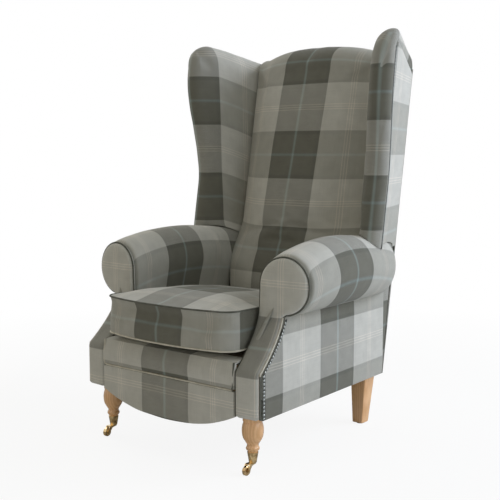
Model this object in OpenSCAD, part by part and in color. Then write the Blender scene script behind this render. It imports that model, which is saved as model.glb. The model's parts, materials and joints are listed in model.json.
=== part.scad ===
// Wing back fireside chair: hardwood frame, sprung seat, loose seat cushion and padded covers.
// Millimetres. X is to the sitter's left hand as seen from the front, -Y is the front, Z is up.
// Inside the modules Y starts at the foot of the arm fronts; placed() then centres the chair.

/* [Overall] */
// Height of the wing tips above the floor
overall_h = 1170; // [1140:1:1200]
// Height of the middle of the crest above the floor
crest_h = 1162; // [1145:1:1168]
// Height of the lower edge of the covers above the floor
leg_h = 153; // [148:1:160]
// Half width over the outside arms at the front
front_half_w = 324; // [312:1:336]
// Half width over the outside back
rear_half_w = 269; // [264:1:274]
// Depth from the arm fronts to the foot of the outside back
body_d = 659; // [640:1:680]
// Lean of the outside back from upright, in degrees
rake = 9.3; // [8.5:0.1:10]

/* [Arms] */
// Width of an arm from its outside panel to its inner face
arm_w = 80; // [76:1:84]
// Height of the underside of the arm roll
roll_z = 404; // [398:1:410]
// Radius of the arm roll at its scroll
roll_r = 78; // [74:1:80]
// Extra radius of the arm roll halfway along
roll_swell = 17; // [10:1:20]
// Height of the bend across the arm facing
bend_z = 272; // [264:1:280]
// Distance that the scroll stands behind the foot of the facing
facing_sweep = 105; // [95:1:115]
// Thickness of the padded arm facing
facing_t = 14; // [10:1:16]
// Thickness of the padding on the inner face of an arm
arm_pad_t = 22; // [16:1:24]

/* [Back and wings] */
// Half width of the inside back at the seat
seat_back_half_w = 196; // [190:1:199]
// Half width of the inside back above the arms
crest_half_w = 240; // [234:1:244]
// Lean of the inside back from upright, in degrees
inside_rake = 15.2; // [14:0.1:16]
// Depth from the arm fronts to the inside back at the cushion
seat_d = 457; // [440:1:470]
// Distance that the side edges of the inside back fall behind its middle at the cushion
seat_crown = 24; // [18:1:28]
// Depth from the outside back to the seams between the inside back and the wings
seam_d = 133; // [126:1:140]
// Drop of the crest from its middle to its ends
crest_arch = 34; // [24:1:38]
// Height of the padded crest above the timber of the back
crest_pad = 92; // [86:1:98]
// Turn of the wings outwards from straight ahead, in degrees
wing_flare = 21.3; // [20:0.1:23]
// Reach of a wing ahead of the back's rear edge, just above the arm
wing_reach_low = 238; // [230:1:246]
// Reach of a wing ahead of the back's rear edge, near its top
wing_reach_top = 320; // [310:1:330]
// Thickness of a wing at its rolled front edge
wing_t = 63; // [56:1:70]
// Distance that the roll of a wing stands ahead of its trim line
wing_nose = 28; // [20:1:34]

/* [Seat] */
// Height of the seat deck above the floor
deck_z = 298; // [294:1:302]
// Height of the cushion border between its two lines of piping
cushion_band = 102; // [94:1:108]
// Bulge of the cushion below its lower piping
cushion_belly = 20; // [14:1:24]
// Bulge of the cushion above its upper piping
cushion_crown = 16; // [12:1:24]
// Fall of the cushion's upper piping from its front to its rear
cushion_fall = 33; // [20:1:38]
// Distance that the middle of the cushion stands ahead of the arm fronts
cushion_bow = 41; // [30:1:50]
// Height of the piping between the front border and the apron
border_z = 222; // [216:1:230]
// Drop of the apron's scallop below the covers' lower edge
scallop = 47; // [35:1:55]

/* [Timber] */
// Thickness of the seat rails
rail_t = 25; // [22:1:28]
// Width of the back posts
post_w = 40; // [36:1:44]
// Thickness of the back posts, front to rear
post_t = 36; // [30:1:40]
// Height of the corner blocks
block_h = 60; // [50:1:70]
// Thickness of the arm posts
arm_post_t = 26; // [22:1:28]
// Height of the arm rails
arm_rail_h = 42; // [36:1:50]
// Thickness of the wing frames
wing_frame_t = 20; // [18:1:22]
// Width of the bars of the wing frames and of the cross rails of the back
bar_w = 50; // [40:1:56]

/* [Covers and trim] */
// Thickness of the outside panels with their lining
cover_t = 5; // [4:0.5:6]
// Thickness of the front apron
apron_t = 12; // [8:1:14]
// Radius of the piping
piping_r = 3; // [2:0.25:3.5]
// Radius of a trim stud
stud_r = 4.4; // [3:0.2:4.6]
// Distance between neighbouring trim studs
stud_pitch = 9.8; // [9.4:0.2:14]
// Height of a trim stud above its panel
stud_h = 2.4; // [1.5:0.1:3]

/* [Suspension] */
// Number of zigzag springs
spring_n = 5; // [4:1:6]
// Thickness of the spring wire
wire_t = 3.6; // [3:0.1:4]
// Width of a zigzag spring
spring_w = 46; // [40:1:50]
// Number of bends along a zigzag spring
spring_bends = 18; // [14:1:22]
// Width of a webbing strap
strap_w = 50; // [40:1:56]
// Thickness of the webbing
strap_t = 1.8; // [1:0.1:2]

/* [Legs and castors] */
// Greatest radius of a turned front leg
leg_r = 28.5; // [24:0.5:30]
// Radius of the foot of a turned front leg
leg_foot_r = 8.5; // [8:0.5:10]
// Width of a rear leg at the floor
rear_leg_foot_w = 35; // [30:1:40]
// Width of a rear leg at its top
rear_leg_top_w = 54; // [48:1:58]
// Radius of a leg bolt
bolt_r = 4; // [3:0.5:5]
// Length of a leg bolt
bolt_l = 84; // [70:1:90]
// Thickness of a glide under a rear leg
glide_h = 2.5; // [2:0.5:4]
// Radius of a glide
glide_r = 11; // [9:0.5:14]
// Radius of a castor wheel
wheel_r = 12.5; // [11:0.5:13.5]
// Width of a castor wheel
wheel_w = 11; // [9:0.5:12]
// Distance from the castor's pivot to its axle
castor_trail = 26; // [20:1:28]
// Height of the brass cup on the foot of a front leg
cup_h = 27; // [22:1:29]
// Wall of the brass cup
cup_t = 1.6; // [1:0.1:2]
// Radius of the castor's pivot pin
pivot_r = 3; // [2.5:0.1:3.5]
// Radius of the castor's axle
axle_r = 2; // [1.5:0.1:2.4]
// Thickness of the horn's plate and cheeks
horn_t = 2.5; // [2:0.1:3]

/* [Hidden] */

// Clearance between pieces that lie against each other
gap = 0.3;
// Overrun of every cut past the faces it goes through
over = 1;
// Radial clearance of a turning part on its pin
run = 0.06;

// Places shared by several pieces
splay = atan((front_half_w - rear_half_w) / body_d);
frame_edge = cover_t + gap;
frame_z = leg_h + cover_t;
deck_t = 2 * cover_t - gap;
rail_top_z = deck_z - deck_t - wire_t - 3 * gap;
rail_h = rail_top_z - frame_z;
block_top_z = frame_z + block_h;
cushion_z0 = deck_z + gap;
piping_z0 = cushion_z0 + cushion_belly;
piping_z1 = piping_z0 + cushion_band;
shell_z = crest_h - crest_pad;
post_front = frame_edge + post_t;
cap_z = shell_z + post_front * sin(rake) + 2 * gap;
pad_rear = post_front + 2 * gap + strap_t;

function rear_y(z) = body_d + (z - leg_h) * tan(rake);
function clamp01(w) = min(1, max(0, w));
function ease(w) = let (c = clamp01(w)) c * c * (3 - 2 * c);
function blend(a, b, w) = a + (b - a) * w;
function unit(v) = v / norm(v);
function levels(z0, z1, n) = [for (i = [0 : n]) blend(z0, z1, i / n)];

// Front and rear ends of the whole chair, and the shift that centres it
draw_in = cover_t / 2;
tube_sides = 6;
front_end_y = -cushion_bow + draw_in - piping_r * cos(180 / tube_sides);
rear_end_y = rear_y(cap_z) - gap;
origin_y = -(front_end_y + rear_end_y) / 2;

module placed() {
    translate([0, origin_y, 0]) children();
}

// A closed solid through rings of equally many points; each lid is a list of faces in ring places
module loft(rings, first = undef, last = undef) {
    n = len(rings[0]);
    m = len(rings);
    whole = [[for (j = [0 : n - 1]) j]];
    walls = [for (i = [0 : m - 2], j = [0 : n - 1], half = [0, 1])
        half == 0
            ? [i * n + j, i * n + (j + 1) % n, (i + 1) * n + (j + 1) % n]
            : [i * n + j, (i + 1) * n + (j + 1) % n, (i + 1) * n + j]];
    first_lid = [for (face = is_undef(first) ? whole : first) [for (j = [len(face) - 1 : -1 : 0]) face[j]]];
    last_lid = [for (face = is_undef(last) ? whole : last) [for (j = face) (m - 1) * n + j]];
    polyhedron(points = [for (ring = rings) each ring], faces = concat(walls, first_lid, last_lid),
        convexity = 6);
}

// A closed loop of tube whose path never runs along the direction up
function tube_ring(path, i, r, up, closed) =
    let (n = len(path),
        before = closed ? path[(i + n - 1) % n] : path[max(0, i - 1)],
        after = closed ? path[(i + 1) % n] : path[min(n - 1, i + 1)],
        t = unit(after - before),
        across = unit(cross(t, up)),
        rise = cross(across, t))
    [for (k = [0 : tube_sides - 1]) let (a = 360 * (k + 0.5) / tube_sides)
        path[i] + r * (cos(a) * across + sin(a) * rise)];

module tube(path, r, up) {
    loft([for (i = [0 : len(path) - 1]) tube_ring(path, i, r, up, false)]);
}

module loop_tube(path, r, up) {
    m = len(path);
    n = tube_sides;
    faces = [for (i = [0 : m - 1], j = [0 : n - 1], half = [0, 1])
        let (a = i * n, b = ((i + 1) % m) * n, k = (j + 1) % n)
        half == 0 ? [a + j, a + k, b + k] : [a + j, b + k, b + j]];
    polyhedron(points = [for (i = [0 : m - 1]) each tube_ring(path, i, r, up, true)], faces = faces,
        convexity = 6);
}

module on_side(side) {
    if (side > 0) children();
    else mirror([1, 0, 0]) children();
}

// Arm frame: x is 0 on the outside panel and falls inwards, y runs back along the arm
module on_arm(side) {
    placed() on_side(side) translate([front_half_w, 0, 0]) rotate([0, 0, splay]) children();
}

// Draws a side view, length along the arm by height, between two depths from the outside panel
module across_arm(t0, t1) {
    translate([-t1, 0, 0]) rotate([90, 0, 90]) linear_extrude(t1 - t0) children();
}

// Back frame: y is 0 on the outside back and falls forwards, z runs up its slope
module on_back() {
    placed() translate([0, body_d, leg_h]) rotate([-rake, 0, 0]) children();
}
function up_back(z) = (z - leg_h) / cos(rake);

// Arm surfaces
sweep_power = 1.6;
sweep_end_z = roll_z + facing_t;
function sweep_share(z) = clamp01((z - bend_z) / (sweep_end_z - bend_z));
function facing_v(z) = facing_sweep * (1 - pow(1 - sweep_share(z), sweep_power));
swell_peak_share = 0.8;
tail_side_share = 0.35;
tail_power = 1.8;
roll_tail_share = 1.5;
roll_tail = roll_r * roll_tail_share;
function roll_end_v(t, z) = (rear_y(z) - (pad_rear + cover_t) / cos(rake) - t * sin(splay)) / cos(splay);
arm_l = roll_end_v(0, roll_z + roll_r);
roll_crest_z = roll_z + 2 * (roll_r + roll_swell);
// Upright and outward radius of the roll at a share of its length
function roll_high(w) = roll_r + roll_swell * sin(180 * pow(w, swell_peak_share));
function roll_wide(w) =
    let (tail = clamp01(1 - (1 - w) * (arm_l - facing_sweep) / roll_tail))
    roll_high(w) * (1 - (1 - tail_side_share) * pow(tail, tail_power));

// The side view of everything in front of the back face of the facing
sweep_steps = 10;
function facing_line(shift) =
    [for (k = [0 : sweep_steps]) let (z = blend(bend_z, sweep_end_z, k / sweep_steps))
        [facing_v(z) + shift, z]];
function facing_zone(shift, low, high) = concat(
    [[shift, low]], facing_line(shift), [[facing_sweep + shift, high],
    [-front_half_w, high], [-front_half_w, low]]);
facing_low = leg_h - scallop;
facing_high = roll_z + 3 * roll_r;

module facing_cut(shift) {
    across_arm(-2 * roll_r, 2 * arm_w) polygon(facing_zone(shift, facing_low, facing_high));
}

// Wing surfaces, by reach s along the wing, depth d below its outside face and height z
wing_ahead = [sin(wing_flare), -cos(wing_flare), 0];
wing_lean = atan(tan(rake) * sin(wing_flare));
wing_out = [cos(wing_lean) * cos(wing_flare), cos(wing_lean) * sin(wing_flare), -sin(wing_lean)];
function wing_pt(s, d, z) = [rear_half_w, rear_y(z), z] + s * wing_ahead - d * wing_out;
// The same point moved down its plane so that its own height is z
function wing_at(s, d, z) = wing_pt(s, d, z + d * wing_out[2]);
wing_foot_share = 1.75;
reach_start_share = 0.28;
reach_end_share = 1.2;
rear_drop_share = 1.1;
wing_top_power = 1.1;
wing_cap_share = 0.62;
wing_z0 = roll_z + wing_foot_share * roll_r;
reach_z0 = blend(wing_z0, overall_h, reach_start_share);
reach_z1 = overall_h - wing_t * reach_end_share;
function wing_reach(z) = blend(wing_reach_low, wing_reach_top, ease((z - reach_z0) / (reach_z1 - reach_z0)));
wing_tip_r = wing_t;
wing_peak_s = wing_reach_top + wing_nose - wing_tip_r;
wing_rear_drop = wing_t * rear_drop_share;
function wing_top(s) = s < wing_peak_s
    ? overall_h - wing_rear_drop * pow(1 - s / wing_peak_s, wing_top_power)
    : overall_h - wing_tip_r + sqrt(max(0, wing_tip_r * wing_tip_r - pow(s - wing_peak_s, 2)));
wing_cap = wing_t * wing_cap_share;

// Height of the arm roll's surface, with a clearance, under a place in the plan
foot_gap = 5 * gap;
function over_roll(p) =
    let (t = (p[0] - front_half_w) * cos(splay) + p[1] * sin(splay),
        v = (front_half_w - p[0]) * sin(splay) + p[1] * cos(splay),
        end_v = roll_end_v(t, roll_z + 2 * roll_r),
        w = clamp01((v - facing_sweep) / (end_v - facing_sweep)),
        high = roll_high(w) + foot_gap,
        wide = t > 0 ? roll_wide(w) + foot_gap : high,
        share = t / wide)
    roll_z + roll_high(w) + high * sqrt(max(0, 1 - share * share));

// Inside back surfaces
back_foot_z = deck_z + gap;
back_bend_z = piping_z1;
side_power = 2.6;
arch_power = 2.2;
seam_z0 = back_bend_z + roll_r / 2;
seam_z1 = roll_crest_z + gap + 4 * cover_t;
function seam_rise(z) = clamp01((z - seam_z0) / (seam_z1 - seam_z0));
function back_half_w(z) = blend(seat_back_half_w, crest_half_w, seam_rise(z));
function back_edge_y(z) = blend(seat_d + seat_crown, rear_y(z) - seam_d, seam_rise(z));
function back_front_y(z) = seat_d + max(0, z - back_bend_z) * tan(inside_rake);
function pad_rear_y(z) = rear_y(z) - (pad_rear + gap) / cos(rake);
function crest_z(u) = crest_h - crest_arch * pow(abs(u), arch_power);
function crown_drop(u, z) = (back_edge_y(z) - back_front_y(z)) * pow(abs(u), side_power);
crest_skew = 1.35;

module wood() {
    color("burlywood") children();
}

// Timber of the seat: blocks in the corners, rails between them
block_w = arm_w - 2 * gap - frame_edge;
front_block_l = block_w - frame_edge;
front_block_v = facing_t + gap;
rear_block_x = rear_half_w - frame_edge - 5 * gap;
rear_block_y = body_d - frame_edge - block_w;
apron_y = -arm_w * sin(splay) - piping_r / 2;
front_rail_y = apron_y + apron_t + gap;
front_rail_x = front_half_w - (frame_edge + block_w) / cos(splay)
    - (front_rail_y + rail_t) * tan(splay) - gap;
module front_rail() {
    wood() placed()
        translate([-front_rail_x, front_rail_y, frame_z + cover_t])
        cube([2 * front_rail_x, rail_t, rail_h - cover_t]);
}

rear_rail_x = rear_block_x - block_w - gap;
rear_rail_y = rear_block_y + block_w - rail_t;
module rear_rail() {
    wood() placed()
        translate([-rear_rail_x, rear_rail_y, frame_z])
        cube([2 * rear_rail_x, rail_t, rail_h]);
}

side_rail_v0 = front_block_v + front_block_l + gap;
side_rail_v1 = (rear_block_y - gap) / cos(splay);
module side_rail(side) {
    wood() on_arm(side)
        translate([-frame_edge - rail_t, side_rail_v0, frame_z])
        cube([rail_t, side_rail_v1 - side_rail_v0, rail_h]);
}

// Axes of the legs and of the bolts that hold them to the blocks
leg_across_share = 0.68;
bolt_below_share = 0.55;
front_leg_t = arm_w * leg_across_share;
front_leg_v = front_block_v + front_block_l / 2;
front_leg_x = front_half_w - front_leg_t * cos(splay) - front_leg_v * sin(splay);
front_leg_y = front_leg_v * cos(splay) - front_leg_t * sin(splay);
rear_leg_x = rear_block_x - block_w / 2;
rear_leg_y = rear_block_y + block_w / 2;
bolt_bore_r = bolt_r + run;
bolt_z0 = frame_z - bolt_l * bolt_below_share;
bolt_fn = 32;

module leg_pairs() {
    for (side = [-1, 1]) {
        translate([side * front_leg_x, front_leg_y, 0]) children();
        translate([side * rear_leg_x, rear_leg_y, 0]) children();
    }
}
module bolt_bores() {
    placed() leg_pairs() translate([0, 0, bolt_z0 - over])
        cylinder(h = bolt_l + 2 * over, r = bolt_bore_r, $fn = bolt_fn);
}
module leg_bolts() {
    color("silver") placed() leg_pairs() translate([0, 0, bolt_z0])
        cylinder(h = bolt_l, r = bolt_r, $fn = bolt_fn);
}

module corner_blocks() {
    wood() difference() {
        for (side = [-1, 1]) {
            on_arm(side)
                translate([-frame_edge - block_w, front_block_v, frame_z])
                cube([block_w, front_block_l, block_h]);
            placed() on_side(side)
                translate([rear_block_x - block_w, rear_block_y, frame_z])
                cube([block_w, block_w, block_h]);
        }
        bolt_bores();
    }
}

// Arm post: a swept board that stands on the front block and follows the facing
arm_post_share = 0.6;
arm_post_d = front_block_l * arm_post_share;
arm_post_t0 = frame_edge + rail_t + gap;
arm_post_z1 = roll_z - gap;
module arm_post_shape(grow) {
    low = block_top_z + gap - grow;
    front = facing_t + gap - grow;
    back = facing_t + gap + arm_post_d + grow;
    across_arm(arm_post_t0 - grow, arm_post_t0 + arm_post_t + grow)
        polygon(concat([[front, low]],
            [for (k = [0 : sweep_steps]) let (z = blend(bend_z, arm_post_z1, k / sweep_steps))
                [facing_v(z) + front, z]],
            [[facing_v(arm_post_z1) + back, arm_post_z1], [facing_v(bend_z) + back, low]]));
}
module arm_post(side) {
    wood() on_arm(side) arm_post_shape(0);
}

// Arm rail: a beam under the roll, from the arm post to the back post
arm_rail_t = arm_w - arm_pad_t - frame_edge - 2 * gap;
arm_rail_v0 = facing_v(arm_post_z1) + facing_t + arm_post_d + 2 * gap;
arm_rail_z0 = roll_z - gap - arm_rail_h;
arm_rail_v1 = (rear_y(arm_rail_z0) - (post_front + gap) / cos(rake)) / cos(splay);
module arm_rail(side) {
    wood() on_arm(side)
        translate([-frame_edge - arm_rail_t, arm_rail_v0, arm_rail_z0])
        cube([arm_rail_t, arm_rail_v1 - arm_rail_v0, arm_rail_h]);
}

// Back posts and the rails between them
post_x1 = front_half_w - rear_y(wing_z0) * tan(splay) - frame_edge / cos(splay);
post_x0 = post_x1 - post_w;
post_z0 = up_back(block_top_z + gap);
post_z1 = up_back(shell_z);
module back_post(side) {
    wood() on_back() on_side(side)
        translate([post_x0, -post_front, post_z0])
        cube([post_w, post_t, post_z1 - post_z0]);
}

// A rail between the posts, from its lower edge and its thickness
module back_bar(z, thick) {
    on_back() translate([-post_x0 + gap, -post_front, z])
        cube([2 * (post_x0 - gap), thick, bar_w]);
}
tack_rail_z = up_back(deck_z + bar_w / 2);
crest_rail_z = post_z1 - bar_w;
lumbar_share = 0.36;
lumbar_rail_z = blend(tack_rail_z, crest_rail_z, lumbar_share);
module crest_rail() {
    wood() back_bar(crest_rail_z, post_t);
}
module back_rails() {
    wood() for (z = [tack_rail_z, lumbar_rail_z]) back_bar(z, rail_t);
}

// Wing frame: a front upright and a top bar in one board beside the outside wing
wing_board_d1 = frame_edge + wing_frame_t;
wing_board_z0 = roll_crest_z + gap;
wing_board_s0 = ((post_front + gap) / cos(rake) - wing_board_d1 * sin(wing_flare)) / cos(wing_flare);
wing_board_s1 = wing_reach_top - frame_edge;
wing_levels = levels(seam_z1, shell_z - 2 * cover_t, 7);
pad_start_share = 0.44;
pad_s0 = wing_reach_low * pad_start_share;
function wing_under_cap(s) = wing_top(s) - wing_cap - 3 * gap;
// A flat plate beside the outside wing, from its outline and its two depths
module wing_plate(outline, d0, d1) {
    loft([for (d = [d1, d0]) [for (p = outline) wing_pt(p[0], d, p[1])]]);
}
// Front edge of a plate from z0 up to z1, set in from the trim line
function wing_edge(z0, z1, inset) = [for (z = concat([z0], [for (l = wing_levels) if (l < z1) l], [z1]))
    [wing_reach(z) - inset, z]];
// Places along the wing that its cap and its panel share, from the front to the rear
wing_peak_share = (wing_peak_s - pad_s0) / (wing_reach_top - pad_s0);
wing_side_shares = [0, 0.25, 0.5, 0.75, wing_peak_share, (wing_peak_share + 1) / 2, 1];
wing_places = [for (i = [len(wing_side_shares) - 1 : -1 : 0])
    blend(pad_s0, wing_reach_top, wing_side_shares[i])];
function wing_crown(s0, s1, drop) = concat([[s0, wing_under_cap(s0) - drop]],
    [for (s = wing_places) if (s < s0 && s > s1) [s, wing_under_cap(s) - drop]],
    [[s1, wing_under_cap(s1) - drop]]);
// One edge of the frame's board, up its front bar and back along its top bar
wing_bar_steps = 8;
wing_top_steps = 5;
function wing_frame_line(inset) =
    let (s1 = wing_board_s1 - inset,
        drop = 2 * frame_edge + inset,
        z1 = wing_under_cap(s1) - drop)
    concat(
        [for (z = levels(wing_board_z0, z1, wing_bar_steps))
            [min(s1, wing_reach(z) - frame_edge - inset), z]],
        [for (i = [1 : wing_top_steps])
            let (s = blend(s1, wing_board_s0, i / wing_top_steps)) [s, wing_under_cap(s) - drop]]);
module wing_frame(side) {
    outer = wing_frame_line(0);
    inner = wing_frame_line(bar_w);
    n = len(outer);
    strip = [for (i = [0 : n - 2]) [i, i + 1, 2 * n - 2 - i, 2 * n - 1 - i]];
    line = concat(outer, [for (i = [n - 1 : -1 : 0]) inner[i]]);
    wood() placed() on_side(side)
        loft([for (d = [wing_board_d1, frame_edge]) [for (p = line) wing_pt(p[0], d, p[1])]], strip, strip);
}

// Zigzag springs lie on the rails, held down by clips
spring_y0 = front_rail_y + rail_t / 2;
spring_y1 = rear_rail_y + rail_t / 2;
spring_span_x = 2 * rear_rail_x - spring_w;
spring_z = rail_top_z + gap;
spring_steps = 6;
spring_l = spring_y1 - spring_y0;
spring_swing = spring_w / 2 - wire_t;
function wave_side(w, s) =
    let (x = spring_swing * sin(180 * spring_bends * w),
        slope = spring_swing * cos(180 * spring_bends * w) * PI * spring_bends / spring_l,
        stretch = sqrt(1 + slope * slope))
    [x + s * wire_t / 2 / stretch, spring_y0 + spring_l * w - s * wire_t / 2 * slope / stretch];
module zigzag() {
    n = spring_bends * spring_steps;
    linear_extrude(wire_t) polygon(concat(
        [for (i = [0 : n]) wave_side(i / n, 1)],
        [for (i = [n : -1 : 0]) wave_side(i / n, -1)]));
}
module at_springs() {
    for (i = [0 : spring_n - 1])
        translate([-spring_span_x / 2 + i * spring_span_x / (spring_n - 1), 0, 0]) children();
}
module seat_springs() {
    color("dimgray") placed() at_springs() translate([0, 0, spring_z]) zigzag();
}
clip_w = 4 * wire_t;
clip_top = wire_t / 2;
module spring_clips() {
    legs = wire_t + 2 * gap;
    color("gray") placed() at_springs() for (y = [spring_y0, spring_y1])
        translate([-spring_w / 2 - clip_w, y - clip_w / 2, spring_z]) difference() {
            cube([spring_w + 2 * clip_w, clip_w, legs + clip_top]);
            translate([clip_w / 2, -over, -over])
                cube([spring_w + clip_w, clip_w + 2 * over, legs + over - gap]);
        }
}

// Straps across and down the back, flat in front of the posts
strap_n = 4;
strap_x1 = post_x0 + post_w / 2;
strap_z0 = tack_rail_z + bar_w / 4;
strap_z1 = post_z1 - strap_w - 2 * gap;
module back_webbing() {
    color("tan") on_back() translate([0, -post_front - gap - strap_t, 0]) {
        for (i = [0 : strap_n - 1])
            translate([-strap_x1, 0, blend(strap_z0, strap_z1, i / (strap_n - 1))])
            cube([2 * strap_x1, strap_t, strap_w]);
        for (side = [-1, 1])
            translate([side * post_x0 / 2 - strap_w / 2, 0, strap_z0])
            cube([strap_w, strap_t, strap_z1 - strap_z0]);
    }
}

// Seat deck: felt over the springs, notched round the arm posts
deck_y0 = front_rail_y + rail_t + clip_w;
deck_y1 = spring_y1 - clip_w / 2 - gap;
function deck_half_w(y) = front_half_w - (frame_edge + gap) / cos(splay) - y * tan(splay);
module seat_deck() {
    color("saddlebrown") difference() {
        placed() translate([0, 0, deck_z - deck_t]) linear_extrude(deck_t)
            polygon([[-deck_half_w(deck_y0), deck_y0], [deck_half_w(deck_y0), deck_y0],
                [deck_half_w(deck_y1), deck_y1], [-deck_half_w(deck_y1), deck_y1]]);
        for (side = [-1, 1]) on_arm(side) arm_post_shape(gap);
    }
}

dust_t = cover_t / 2;
dust_hole_share = 0.72;
dust_fn = 48;
module dust_cover() {
    y0 = facing_t + 2 * gap;
    y1 = body_d - 2 * frame_edge;
    color("black") placed() difference() {
        translate([0, 0, frame_z - gap - dust_t]) linear_extrude(dust_t)
            polygon([[-deck_half_w(y0), y0], [deck_half_w(y0), y0],
                [deck_half_w(y1), y1], [-deck_half_w(y1), y1]]);
        leg_pairs() translate([0, 0, leg_h - over])
            cylinder(h = 2 * cover_t, r = rear_leg_top_w * dust_hole_share, $fn = dust_fn);
    }
}

// Seat cushion: a crowned box with a bowed front and puffed borders
cushion_side = arm_w + piping_r + gap;
cushion_y1 = seat_d - 2 * gap;
bow_share = 0.55;
bow_power = 2.3;
front_n = 6;
corner_n = 4;
side_n = 4;
function cushion_half_w(y) = front_half_w - cushion_side / cos(splay) - y * tan(splay);
corner_share = 1.2;
rear_corner_share = 0.3;
corner_r = cushion_bow * corner_share;
rear_corner_r = corner_r / 3;
corner_y = -cushion_bow * (1 - bow_share) + corner_r;
corner_x = cushion_half_w(corner_y) - corner_r;
rear_y0 = cushion_y1 - rear_corner_r;
function cushion_side_path() = concat(
    [for (i = [1 : front_n]) let (u = i / front_n)
        [u * corner_x, -cushion_bow * (1 - bow_share * pow(u, bow_power))]],
    [for (i = [1 : corner_n]) let (a = -90 + 90 * i / corner_n)
        [corner_x + corner_r * cos(a), corner_y + corner_r * sin(a)]],
    [for (i = [1 : side_n]) let (y = blend(corner_y, rear_y0, i / side_n)) [cushion_half_w(y), y]],
    [[cushion_half_w(cushion_y1), cushion_y1] - rear_corner_r * rear_corner_share * [1, 1],
        [cushion_half_w(cushion_y1) - rear_corner_r, cushion_y1],
        [cushion_half_w(cushion_y1) / 2, cushion_y1]]);
cushion_half_line = cushion_side_path();
cushion_line = concat([[0, -cushion_bow]], cushion_half_line, [[0, cushion_y1]],
    [for (i = [len(cushion_half_line) - 1 : -1 : 0]) let (p = cushion_half_line[i]) [-p[0], p[1]]]);
// The closed line moved inwards by a distance, or drawn in to a share of its size
function inward(path, d) = [for (i = [0 : len(path) - 1])
    let (n = len(path), t = unit(path[(i + 1) % n] - path[(i + n - 1) % n])) path[i] + d * [-t[1], t[0]]];
function raised(path, z) = [for (p = path) [p[0], p[1], z]];
cushion_mid = [0, (cushion_y1 - cushion_bow) / 2];
function drawn(share) = [for (p = inward(cushion_line, draw_in)) cushion_mid + (p - cushion_mid) * share];
crown_shares = [0.97, 0.9, 0.76, 0.55, 0.25];
crown_power = 3.4;
band_shares = [0, 0.15, 0.5, 0.85, 1];
function crown_rise(share) = (1 - pow(share, crown_power)) / (1 - pow(crown_shares[4], crown_power));
fall_power = 2;
function cushion_top(p) = piping_z1 - cushion_fall * pow(clamp01(p[1] / cushion_y1), fall_power);
function on_top(path, w, rise) = [for (p = path) [p[0], p[1], blend(cushion_top(p), piping_z0, w) + rise]];
module seat_cushion() {
    crown = [for (i = [4 : -1 : 0]) let (s = crown_shares[i])
        on_top(drawn(s), 0, cushion_crown * crown_rise(s))];
    band = [for (w = band_shares) on_top(inward(cushion_line, draw_in * (1 - sin(180 * w))), w, 0)];
    belly = [for (s = crown_shares) raised(drawn(s), piping_z0 - cushion_belly * crown_rise(s))];
    color("gray") placed() difference() {
        loft(concat(crown, band, belly));
        for (w = [0, 1]) cushion_seam(w, piping_r + gap);
        translate([-zip_w / 2 - gap, cushion_y1 - zip_t - gap, zip_z - gap])
            cube([zip_w + 2 * gap, 2 * zip_t, zip_h + 2 * gap]);
    }
}
module cushion_seam(w, r) {
    loop_tube(on_top(inward(cushion_line, draw_in), w, 0), r, [0, 0, 1]);
}
module cushion_piping(w) {
    color("lightgray") placed() cushion_seam(w, piping_r);
}
zip_share = 0.8;
zip_w = cushion_half_w(cushion_y1) * zip_share;
zip_h = 3 * cover_t;
zip_t = cover_t / 2;
zip_z = (piping_z0 + piping_z1 - cushion_fall - zip_h) / 2;
module cushion_zip() {
    color("dimgray") placed() translate([-zip_w / 2, cushion_y1 - zip_t, zip_z])
        cube([zip_w, zip_t, zip_h]);
}

// Inside back: a crowned pad that hooks over the crest rail
crest_steps = 10;
back_slices = 16;
back_levels = concat(levels(back_foot_z, seam_z0, 2),
    [for (i = [1 : 3]) blend(seam_z0, seam_z1, i / 3)], [for (i = [1 : 4]) blend(seam_z1, cap_z, i / 4)]);
function back_slice(u) =
    let (y0 = back_front_y(cap_z) + crown_drop(u, cap_z))
    concat(
        [for (z = back_levels) [u * back_half_w(z), back_front_y(z) + crown_drop(u, z), z]],
        [for (i = [1 : crest_steps - 1])
            let (a = 180 * i / crest_steps, z = cap_z + (crest_z(u) - cap_z) * sin(a))
            [u * back_half_w(z), blend(y0, rear_end_y, pow((1 - cos(a)) / 2, crest_skew)), z]],
        [[u * back_half_w(cap_z), rear_end_y, cap_z]],
        [for (i = [back_top : -1 : 0]) let (z = back_levels[i]) [u * back_half_w(z), pad_rear_y(z), z]]);
back_top = len(back_levels) - 1;
back_n = 2 * back_top + crest_steps + 2;
back_side = concat(
    [for (i = [0 : back_top - 1]) [i, i + 1, back_n - 2 - i, back_n - 1 - i]],
    [for (i = [back_top : back_n - 3 - back_top]) [i, i + 1, back_n - 1 - back_top]]);
module inside_back() {
    color("gray") placed()
        loft([for (i = [0 : back_slices]) back_slice(-1 + 2 * i / back_slices)], back_side, back_side);
}

module outside_back() {
    color("slategray") on_back() translate([-rear_half_w, -cover_t, 0])
        cube([2 * rear_half_w, cover_t, up_back(shell_z)]);
}

// Arm pad: the roll, the inner face below it and a flat underside on the rail
arc_n = 14;
inner_share = 0.5;
seam_share = 0.66;
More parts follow.
